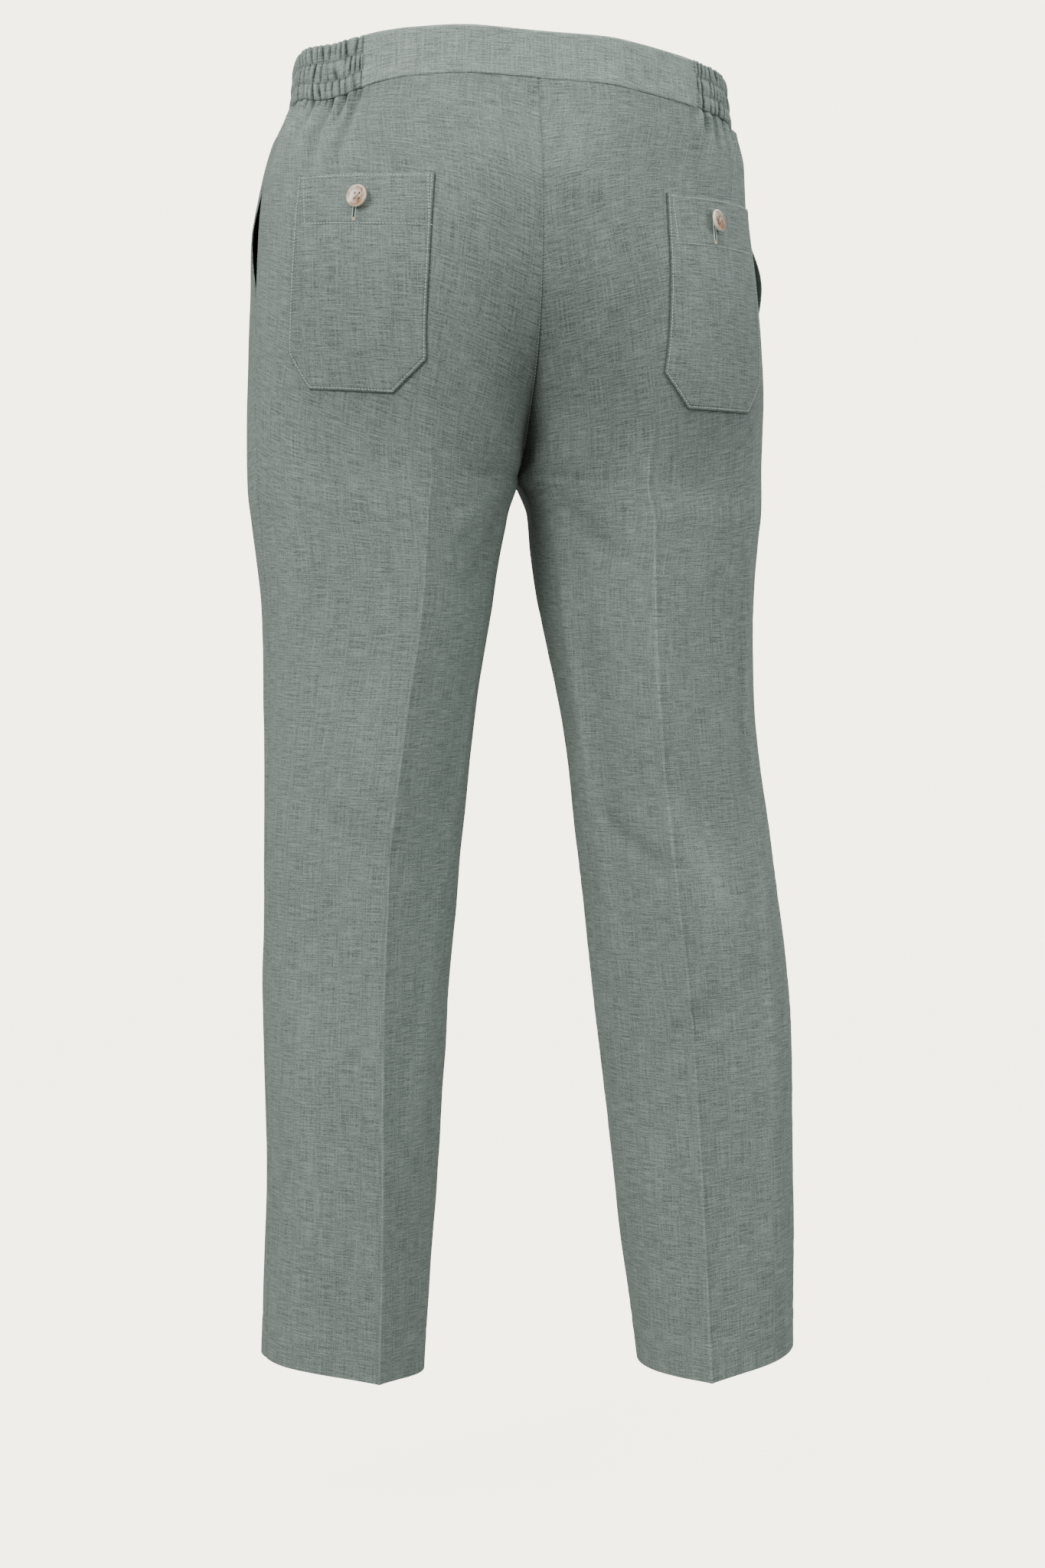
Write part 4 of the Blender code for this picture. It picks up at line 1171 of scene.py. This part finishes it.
def eyelet(side):
    """A worked eyelet for the drawstring: thread round its upright slit in the waistband's front."""
    sheet = SHEETS["waistband_front"]
    x = sheet.points[len(sheet.level)//2, :, 0]
    sign = 1 if side == "left" else -1
    angle = np.linspace(0, 2*math.pi, 49)
    wide = EYELET_SIZE[0]/2 + 0.0006
    tall = EYELET_SIZE[1]/2 - wide + 0.0010
    off_x = wide*np.cos(angle)
    off_z = wide*np.sin(angle) + tall*np.sign(np.sin(angle))*(np.abs(np.sin(angle)) > 1e-6)
    order = np.argsort(x)
    column = np.interp(sign*EYELET_OFF_CENTRE + off_x, x[order], order.astype(float))
    row = np.interp((BAND_FOOT + BAND_TOP)/2 + off_z, sheet.level, np.arange(len(sheet.level)))
    path, outward = on_sheet(sheet, row, column)
    trim(f"eyelet_{side}", [rope(path, outward, 0.00055, 0.0008, lift=0.0001)], "thread")


# ---- materials -----------------------------------------------------------------------------------
def add(tree, kind, sockets=None, **settings):
    """A new node. SOCKETS gives its inputs' values, or the outputs that feed them, by name or number."""
    node = tree.nodes.new(kind)
    for name, value in settings.items():
        setattr(node, name, value)
    for key, value in (sockets or {}).items():
        if isinstance(value, bpy.types.NodeSocket):
            tree.links.new(value, node.inputs[key])
        else:
            node.inputs[key].default_value = value
    return node


def math_node(tree, operation, a, b=0.0, clamp=False):
    """The output of a Math node."""
    return add(tree, "ShaderNodeMath", {0: a, 1: b}, operation=operation, use_clamp=clamp).outputs[0]


def streaks(tree, place, across, along, offset, detail=1.0):
    """Noise drawn out to that many metres across and along the cloth, as an output from 0 to 1."""
    size = (1/across, 1/along, 1)
    move = (offset, offset*1.7, 0)
    sized = add(tree, "ShaderNodeVectorMath", {0: place, 1: size}, operation="MULTIPLY").outputs[0]
    moved = add(tree, "ShaderNodeVectorMath", {0: sized, 1: move}, operation="ADD").outputs[0]
    sockets = {"Vector": moved, "Scale": 1.0, "Detail": detail}
    grain = add(tree, "ShaderNodeTexNoise", sockets, noise_dimensions="2D")
    return grain.outputs[0]


def threshold(tree, value, start, end):
    """0 below START, 1 above END."""
    return add(tree, "ShaderNodeMapRange", {0: value, 1: start, 2: end}, clamp=True).outputs[0]


def blend(tree, factor, a, b):
    """One colour mixed into another."""
    node = add(tree, "ShaderNodeMix", {0: factor, 6: a, 7: b}, data_type="RGBA")
    return node.outputs[2]


def mark(tree, name):
    """The output of the numbers of that name that a piece carries."""
    return add(tree, "ShaderNodeAttribute", attribute_name=name).outputs["Fac"]


def speckle(tree, scale, detail):
    """Noise in the object's own space, as an output from 0 to 1."""
    place = add(tree, "ShaderNodeTexCoord").outputs["Object"]
    return add(tree, "ShaderNodeTexNoise", {"Vector": place, "Scale": scale, "Detail": detail}).outputs[0]


def new_group(name, inputs, outputs):
    """An empty node group with those sockets, and its two ends."""
    tree = bpy.data.node_groups.new(name, "ShaderNodeTree")
    for label, kind, value in inputs:
        socket = tree.interface.new_socket(label, in_out="INPUT", socket_type=kind)
        if value is not None:
            socket.default_value = value
    for label, kind in outputs:
        tree.interface.new_socket(label, in_out="OUTPUT", socket_type=kind)
    return tree, add(tree, "NodeGroupInput"), add(tree, "NodeGroupOutput")


Grain = namedtuple("Grain", "weight across along offset detail")
GRAINS = [                # weft, warp, flecks, and two sizes of cloud, in metres on the flat cloth
    Grain(1.10, 0.0180, 0.00086, 3.1, 2.0),
    Grain(0.72, 0.00094, 0.034, 8.7, 2.0),
    Grain(0.95, 0.0019, 0.0011, 5.9, 2.0),
    Grain(0.10, 0.018, 0.014, 2.3, 1.0),
    Grain(0.10, 0.055, 0.085, 4.4, 1.0),
]
Slub = namedtuple("Slub", "weight across along offset start end")
SLUBS = [                 # thick places in the weft and in the warp
    Slub(0.50, 0.0125, 0.00105, 11.3, 0.68, 0.80),
    Slub(0.40, 0.00105, 0.022, 17.9, 0.71, 0.83),
]


def weave_group():
    """The colour and height of slubbed linen at a place on the flat cut."""
    tree, given, result = new_group(
        "linen_weave",
        [("Cut", "NodeSocketVector", None), ("Light", "NodeSocketColor", (0.5, 0.5, 0.5, 1)),
         ("Dark", "NodeSocketColor", (0.2, 0.2, 0.2, 1)), ("Slub", "NodeSocketColor", (0.6, 0.6, 0.5, 1)),
         ("Contrast", "NodeSocketFloat", 1.0)],
        [("Color", "NodeSocketColor"), ("Height", "NodeSocketFloat")])
    place = given.outputs["Cut"]
    total = 0.0
    for grain in GRAINS:
        value = streaks(tree, place, grain.across, grain.along, grain.offset, grain.detail)
        part = math_node(tree, "MULTIPLY", math_node(tree, "SUBTRACT", value, 0.5), grain.weight)
        total = math_node(tree, "ADD", part, total)
    scaled = math_node(tree, "MULTIPLY", total, given.outputs["Contrast"])
    factor = math_node(tree, "ADD", scaled, 0.5, clamp=True)
    base = blend(tree, factor, given.outputs["Dark"], given.outputs["Light"])
    slubs = []
    for row in SLUBS:
        value = streaks(tree, place, row.across, row.along, row.offset, 0.0)
        thick = threshold(tree, value, row.start, row.end)
        slubs.append(math_node(tree, "MULTIPLY", thick, row.weight))
    slub = math_node(tree, "MAXIMUM", *slubs)
    colour = blend(tree, slub, base, given.outputs["Slub"])
    tree.links.new(colour, result.inputs["Color"])
    height = math_node(tree, "ADD", total, math_node(tree, "MULTIPLY", slub, 0.6))
    tree.links.new(height, result.inputs["Height"])
    return tree


def principled(name, values):
    """A new material, its tree and its shader, with VALUES for the shader's inputs."""
    made = bpy.data.materials.new(name)
    made.use_nodes = True
    tree = made.node_tree
    shader = tree.nodes["Principled BSDF"]
    for label, value in values.items():
        shader.inputs[label].default_value = value
    return made, tree, shader


def linen(name, weave, light, dark, slub, contrast):
    """Cloth: the weave's colour, lighter under painted light and darker under painted shade, as in its seams,
    with a faint bloom.
    """
    made, tree, shader = principled(name, {
        "Roughness": 0.88, "Specular IOR Level": 0.25, "Sheen Weight": 0.12, "Sheen Roughness": 0.5,
        "Sheen Tint": (0.80, 0.86, 0.82, 1)})
    place = add(tree, "ShaderNodeUVMap", uv_map="cut").outputs[0]
    cloth = add(tree, "ShaderNodeGroup", node_tree=weave)
    tree.links.new(place, cloth.inputs["Cut"])
    values = {"Light": (*light, 1), "Dark": (*dark, 1), "Slub": (*slub, 1), "Contrast": contrast}
    for label, value in values.items():
        cloth.inputs[label].default_value = value
    # The pieces' painted light and shade scale the weave's colour.
    shade = math_node(tree, "ADD", mark(tree, "press"), 1.0)
    colour = add(tree, "ShaderNodeVectorMath", {0: cloth.outputs["Color"]}, operation="SCALE")
    tree.links.new(shade, colour.inputs["Scale"])
    tree.links.new(colour.outputs[0], shader.inputs["Base Color"])
    height = cloth.outputs["Height"]
    relief = add(tree, "ShaderNodeBump", {"Strength": 0.55, "Distance": 0.0005, "Height": height})
    tree.links.new(relief.outputs[0], shader.inputs["Normal"])
    return made


def thread(name, colour):
    """Sewing thread: nearly plain, with a little light and dark along it."""
    made, tree, shader = principled(name, {"Roughness": 0.65})
    grain = speckle(tree, 900.0, 1.0)
    dark = tuple(0.72*part for part in colour)
    mixed = blend(tree, grain, (*dark, 1), (*(min(1, 1.25*part) for part in colour), 1))
    tree.links.new(mixed, shader.inputs["Base Color"])
    return made


def horn(name, pale, brown):
    """Horn under a soft polish: pale at the rim, clouded with brown; painted shade browns its lower right and
    blackens its holes.
    """
    made, tree, shader = principled(name, {"Roughness": 0.34, "Coat Weight": 0.25, "Coat Roughness": 0.2})
    cloud = math_node(tree, "MULTIPLY", speckle(tree, 120.0, 3.0), 0.7)
    vein = math_node(tree, "MULTIPLY", speckle(tree, 420.0, 4.0), 0.3)
    # The piece's brown mark, painted shade on a button's lower right, pushes more of the horn over into brown.
    low = math_node(tree, "MULTIPLY", mark(tree, "cloud"), 0.17)
    patch = threshold(tree, math_node(tree, "ADD", math_node(tree, "ADD", cloud, vein), low), 0.50, 0.70)
    off_rim = math_node(tree, "SUBTRACT", 1.0, math_node(tree, "MULTIPLY", mark(tree, "rim"), 0.5))
    colour = blend(tree, math_node(tree, "MULTIPLY", patch, off_rim), (*pale, 1), (*brown, 1))
    # The holes' dimples painted almost black: painted shade.
    colour = blend(tree, mark(tree, "hole"), colour, (0.035, 0.022, 0.015, 1))
    tree.links.new(colour, shader.inputs["Base Color"])
    return made


def floor_material(colour, fade, glow, power):
    """The floor: plain, lit from within as the backdrop is, and clear from FADE metres out."""
    made, tree, shader = principled("floor", {
        "Roughness": 0.9, "Specular IOR Level": 0.1, "Emission Color": (*glow, 1)})
    place = add(tree, "ShaderNodeTexCoord").outputs["Object"]
    away = add(tree, "ShaderNodeVectorMath", {0: place}, operation="LENGTH").outputs["Value"]
    clear = threshold(tree, away, fade*0.35, fade)
    grain = add(tree, "ShaderNodeTexNoise", {"Vector": place, "Scale": 6.0}).outputs[0]
    shade = blend(tree, grain, (*(0.992*part for part in colour), 1), (*colour, 1))
    tree.links.new(shade, shader.inputs["Base Color"])
    tree.links.new(math_node(tree, "SUBTRACT", 1.0, clear), shader.inputs["Alpha"])
    seen = add(tree, "ShaderNodeLightPath").outputs["Is Camera Ray"]
    tree.links.new(math_node(tree, "MULTIPLY", seen, power), shader.inputs["Emission Strength"])
    return made


# ---- the stage -----------------------------------------------------------------------------------
Light = namedtuple("Light", "name place target size colour")
LIGHTS = [
    Light("key", (2.0, 1.5, 1.0), (0, 0, -0.45), 1.2, (1.0, 0.985, 0.96)),
    Light("fill", (-2.1, 1.2, 0.9), (0, 0, -0.45), 1.6, (0.97, 0.98, 1.0)),
    Light("top", (0.1, 0.45, 2.1), (0, 0, -0.2), 1.6, (1.0, 0.99, 0.97)),
]
CAMERA_TURN = 15          # degrees from straight behind, towards the wearer's left
CAMERA_DOWN = 4.86        # degrees that it looks down
CAMERA_AWAY = 3.2
CAMERA_HEIGHT = -0.278
CAMERA_ASIDE = 0.0121
CAMERA_LENS = 90.7        # in millimetres, on a sensor 36 wide


def looking(place, target):
    """A matrix at PLACE whose -Z points at TARGET, upright."""
    backward = (Vector(place) - Vector(target)).normalized()
    right = Vector((0, 0, 1)).cross(backward).normalized()
    axes = Matrix((right, backward.cross(right), backward)).transposed()
    return Matrix.Translation(place) @ axes.to_4x4()


def area_light(row, power):
    """A soft square lamp, from its row of LIGHTS."""
    light = bpy.data.lights.new(row.name, "AREA")
    light.size = row.size
    light.energy = power
    light.color = row.colour
    lamp = bpy.data.objects.new(row.name, light)
    lamp.matrix_world = looking(row.place, row.target)
    bpy.context.scene.collection.objects.link(lamp)
    return lamp


def build_floor(stage):
    """A round floor."""
    angle = np.linspace(0, 2*math.pi, FLOOR_CORNERS, endpoint=False)
    x, y = stage.floor_radius*np.cos(angle), stage.floor_radius*np.sin(angle)
    rim = np.stack([x, y, np.full(FLOOR_CORNERS, stage.floor_level)], axis=-1)
    mesh = bpy.data.meshes.new("floor")
    mesh.from_pydata(rim.tolist(), [], [list(range(FLOOR_CORNERS))])
    glow = stage.backdrop_power - 0.5
    mesh.materials.append(floor_material(stage.floor_colour, stage.floor_radius, stage.backdrop, glow))
    floor = bpy.data.objects.new("floor", mesh)
    bpy.context.scene.collection.objects.link(floor)
    return floor


def build_world(stage):
    """The backdrop as it is seen, and the softer light that it gives."""
    world = bpy.data.worlds.new("studio")
    world.use_nodes = True
    tree = world.node_tree
    seen = add(tree, "ShaderNodeLightPath").outputs["Is Camera Ray"]
    colour = blend(tree, seen, (*stage.ambient, 1), (*stage.backdrop, 1))
    tree.links.new(colour, tree.nodes["Background"].inputs["Color"])
    bright = math_node(tree, "ADD", 1.0, math_node(tree, "MULTIPLY", seen, stage.backdrop_power - 1))
    tree.links.new(bright, tree.nodes["Background"].inputs["Strength"])
    bpy.context.scene.world = world


def build_camera():
    """The camera behind the wearer, looking a little down."""
    lens = bpy.data.cameras.new("camera")
    lens.lens = CAMERA_LENS
    lens.sensor_width = 36
    lens.sensor_fit = "AUTO"
    lens.clip_end = 200
    camera = bpy.data.objects.new("camera", lens)
    turn, down = math.radians(CAMERA_TURN), math.radians(CAMERA_DOWN)
    up = Vector((0, 0, 1))
    back = Vector((math.sin(turn), math.cos(turn), 0))
    right = Vector((-math.cos(turn), math.sin(turn), 0))
    backward = back*math.cos(down) + up*math.sin(down)
    upward = up*math.cos(down) - back*math.sin(down)
    place = back*CAMERA_AWAY + up*CAMERA_HEIGHT + right*CAMERA_ASIDE
    camera.matrix_world = Matrix.Translation(place) @ Matrix((right, upward, backward)).transposed().to_4x4()
    bpy.context.scene.collection.objects.link(camera)
    bpy.context.scene.camera = camera
    return camera


def build_stage(stage):
    """The floor, the backdrop's light, the three lamps and the camera."""
    floor = build_floor(stage)
    build_world(stage)
    key, fill, top = [area_light(row, getattr(stage, row.name + "_power")) for row in LIGHTS]
    camera = build_camera()


# ---- properties, operators and panel -------------------------------------------------------------
def length(name, description, default, most):
    """A length in metres."""
    return bpy.props.FloatProperty(
        name=name, description=description, default=default, min=0, max=most, precision=5, subtype="DISTANCE",
        unit="LENGTH")


def factor(name, description, default, most=3.0):
    """A plain number that scales an effect."""
    return bpy.props.FloatProperty(name=name, description=description, default=default, min=0, max=most)


def tint(name, description, default):
    """A colour."""
    return bpy.props.FloatVectorProperty(
        name=name, description=description, default=default, size=3, min=0, max=1, subtype="COLOR")


class TrouserSizes(bpy.types.PropertyGroup):
    """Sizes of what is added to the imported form."""
    cloth: length("Cloth", "Thickness of a leg panel as it shows", 0.0009, 0.003)
    gape: length("Mouth", "How far a side pocket's mouth stands open", 0.0052, 0.02)
    pocket_lift_left: length("Left pocket", "How far the left back pocket's top stands open", 0.0006, 0.01)
    pocket_lift_right: length("Right pocket", "How far the right back pocket's top stands open", 0.0016, 0.01)
    crumple: factor("Crumple", "Strength of the cloth's small unevenness", 1.0)
    fold: factor("Folds", "Strength of the folds in the legs", 1.5)
    crease: length("Crease", "Height of the pressed crease", 0.0005, 0.003)
    gather: length("Gathers", "Height of the gathers under the elastic", 0.0040, 0.01)
    pucker: length("Puckers", "Depth of the puckers in the elastic", 0.0036, 0.01)
    puff: length("Puff", "How far the elastic's channels swell", 0.0012, 0.01)
    stitch: length("Stitch", "Length of a stitch", 0.0015, 0.01)
    stitch_pitch: length("Stitch pitch", "Distance from one stitch to the next", 0.0025, 0.02)
    thread: length("Thread", "Radius of the thread", 0.00029, 0.001)

    @property
    def pocket_gape(self):
        """How far each back pocket's top stands open, by side."""
        return {"left": self.pocket_lift_left, "right": self.pocket_lift_right}


class TrouserColours(bpy.types.PropertyGroup):
    """Colours of the cloth, thread and buttons."""
    light: tint("Linen, light", "The paler yarns", (0.292, 0.352, 0.324))
    dark: tint("Linen, dark", "The darker yarns", (0.100, 0.128, 0.114))
    slub: tint("Slubs", "Thick places in the yarn", (0.320, 0.392, 0.360))
    # The facing's colour is the linen's darkened by this factor: painted shade inside the pockets' mouths.
    inside: factor("Inside", "How bright the side pockets' facing is against the rest", 0.8, 1.0)
    contrast: factor("Contrast", "How much the yarns differ", 1.12)
    thread: tint("Thread", "The pockets' and buttonholes' thread", (0.54, 0.65, 0.59))
    seam_thread: tint("Seam thread", "The waistband's and the seat seam's thread", (0.24, 0.29, 0.265))
    tack: tint("Tack", "The buttons' thread and the tack at a buttonhole's foot", (0.62, 0.53, 0.42))
    pale: tint("Horn, pale", "The buttons' pale parts", (0.90, 0.79, 0.66))
    brown: tint("Horn, brown", "The buttons' brown clouds", (0.30, 0.15, 0.07))


class TrouserStage(bpy.types.PropertyGroup):
    """The studio round the trousers."""
    floor_level: bpy.props.FloatProperty(
        name="Floor", description="Height of the floor", default=-1.135, subtype="DISTANCE", unit="LENGTH")
    floor_radius: length("Floor radius", "Where the floor has run into the backdrop", 5.0, 50.0)
    floor_colour: tint("Floor colour", "The floor", (0.46, 0.455, 0.44))
    backdrop: tint("Backdrop", "The wall behind, as it is seen", (1.0, 0.96, 0.80))
    backdrop_power: factor("Backdrop's brightness", "How bright the wall behind looks", 5.2, 20.0)
    ambient: tint("Ambient", "The soft light all round", (0.35, 0.35, 0.345))
    key_power: factor("Key", "Power of the main light, in watts", 59.0, 2000.0)
    fill_power: factor("Fill", "Power of the second light, in watts", 31.0, 2000.0)
    top_power: factor("Top", "Power of the light overhead, in watts", 46.0, 2000.0)


class TrouserOperator:
    """What the operators share."""
    bl_options = {"REGISTER"}


class TROUSERS_OT_materials(TrouserOperator, bpy.types.Operator):
    """Makes the linen, thread and horn that the pieces use"""
    bl_idname = "trousers.materials"
    bl_label = "Materials"

    def execute(self, context):
        colours = context.scene.trouser_colours
        weave = weave_group()
        light, dark, slub = colours.light, colours.dark, colours.slub
        MATERIALS["linen"] = linen("linen_cloth", weave, light, dark, slub, colours.contrast)
        # A darker copy of the linen for the side pockets' facings: painted shade inside their mouths.
        inside = [tuple(colours.inside*part for part in colour) for colour in (light, dark, slub)]
        MATERIALS["linen_inside"] = linen("linen_facing", weave, *inside, colours.contrast)
        MATERIALS["thread"] = thread("sewing_thread", colours.thread)
        MATERIALS["seam_thread"] = thread("seam_thread", colours.seam_thread)
        MATERIALS["tack"] = thread("tack_thread", colours.tack)
        MATERIALS["horn"] = horn("horn_button", colours.pale, colours.brown)
        return {"FINISHED"}


class TROUSERS_OT_legs(TrouserOperator, bpy.types.Operator):
    """Makes the four leg panels, with their creases, folds and gathers"""
    bl_idname = "trousers.legs"
    bl_label = "Leg panels"

    def execute(self, context):
        for side in SIDES:
            for face in FACES:
                leg_panel(side, face, context.scene.trouser_sizes)
        return {"FINISHED"}


class TROUSERS_OT_waistband(TrouserOperator, bpy.types.Operator):
    """Makes the waistband: two flat stretches and two elasticated sides"""
    bl_idname = "trousers.waistband"
    bl_label = "Waistband"

    def execute(self, context):
        for face in FACES:
            flat_band(face)
        for side in SIDES:
            elastic_band(side, context.scene.trouser_sizes)
        return {"FINISHED"}


class TROUSERS_OT_side_pockets(TrouserOperator, bpy.types.Operator):
    """Makes the facings inside the side pockets' mouths"""
    bl_idname = "trousers.side_pockets"
    bl_label = "Side pockets"

    def execute(self, context):
        for side in SIDES:
            side_pocket(side)
        return {"FINISHED"}


class TROUSERS_OT_back_pockets(TrouserOperator, bpy.types.Operator):
    """Makes the two back pockets on their panels"""
    bl_idname = "trousers.back_pockets"
    bl_label = "Back pockets"

    def execute(self, context):
        for side in SIDES:
            patch_pocket(side, context.scene.trouser_sizes)
        return {"FINISHED"}


class TROUSERS_OT_stitching(TrouserOperator, bpy.types.Operator):
    """Sews the pockets, the waistband and the seat seam"""
    bl_idname = "trousers.stitching"
    bl_label = "Stitching"

    def execute(self, context):
        sizes = context.scene.trouser_sizes
        for side in SIDES:
            pocket_stitching(side, sizes)
            waist_stitching(side, sizes)
        seam_stitching(sizes)
        return {"FINISHED"}


class TROUSERS_OT_buttons(TrouserOperator, bpy.types.Operator):
    """Makes the buttons, their thread and their buttonholes"""
    bl_idname = "trousers.buttons"
    bl_label = "Buttons"

    def execute(self, context):
        for side in SIDES:
            frame_of = button(side)
            button_thread(side, frame_of)
            buttonhole(side)
        return {"FINISHED"}


class TROUSERS_OT_eyelets(TrouserOperator, bpy.types.Operator):
    """Works the edges of the drawstring's two eyelets"""
    bl_idname = "trousers.eyelets"
    bl_label = "Eyelets"

    def execute(self, context):
        for side in SIDES:
            eyelet(side)
        return {"FINISHED"}


class TROUSERS_OT_stage(TrouserOperator, bpy.types.Operator):
    """Sets up the floor, the lights and the camera"""
    bl_idname = "trousers.stage"
    bl_label = "Stage"

    def execute(self, context):
        build_stage(context.scene.trouser_stage)
        return {"FINISHED"}


OPERATORS = (
    TROUSERS_OT_materials, TROUSERS_OT_legs, TROUSERS_OT_waistband, TROUSERS_OT_side_pockets,
    TROUSERS_OT_back_pockets, TROUSERS_OT_stitching, TROUSERS_OT_buttons, TROUSERS_OT_eyelets,
    TROUSERS_OT_stage)
GROUPS = (
    ("trouser_sizes", TrouserSizes), ("trouser_colours", TrouserColours), ("trouser_stage", TrouserStage))


class TROUSERS_PT_panel(bpy.types.Panel):
    """The sizes, the colours and the steps, in order"""
    bl_idname = "TROUSERS_PT_panel"
    bl_label = "Linen trousers"
    bl_space_type = "VIEW_3D"
    bl_region_type = "UI"
    bl_category = "Trousers"

    def draw(self, context):
        for attribute, group in GROUPS:
            box = self.layout.box()
            for name in group.__annotations__:
                box.prop(getattr(context.scene, attribute), name)
        for operator in OPERATORS:
            self.layout.operator(operator.bl_idname)


def register():
    for attribute, group in GROUPS:
        bpy.utils.register_class(group)
        setattr(bpy.types.Scene, attribute, bpy.props.PointerProperty(type=group))
    for operator in OPERATORS:
        bpy.utils.register_class(operator)
    bpy.utils.register_class(TROUSERS_PT_panel)


def unregister():
    bpy.utils.unregister_class(TROUSERS_PT_panel)
    for operator in reversed(OPERATORS):
        bpy.utils.unregister_class(operator)
    for attribute, group in reversed(GROUPS):
        delattr(bpy.types.Scene, attribute)
        bpy.utils.unregister_class(group)


def main():
    """Builds everything in order."""
    register()
    bpy.ops.trousers.materials()
    bpy.ops.trousers.legs()
    bpy.ops.trousers.waistband()
    bpy.ops.trousers.side_pockets()
    bpy.ops.trousers.back_pockets()
    bpy.ops.trousers.stitching()
    bpy.ops.trousers.buttons()
    bpy.ops.trousers.eyelets()
    bpy.ops.trousers.stage()


if __name__ == "__main__":
    main()
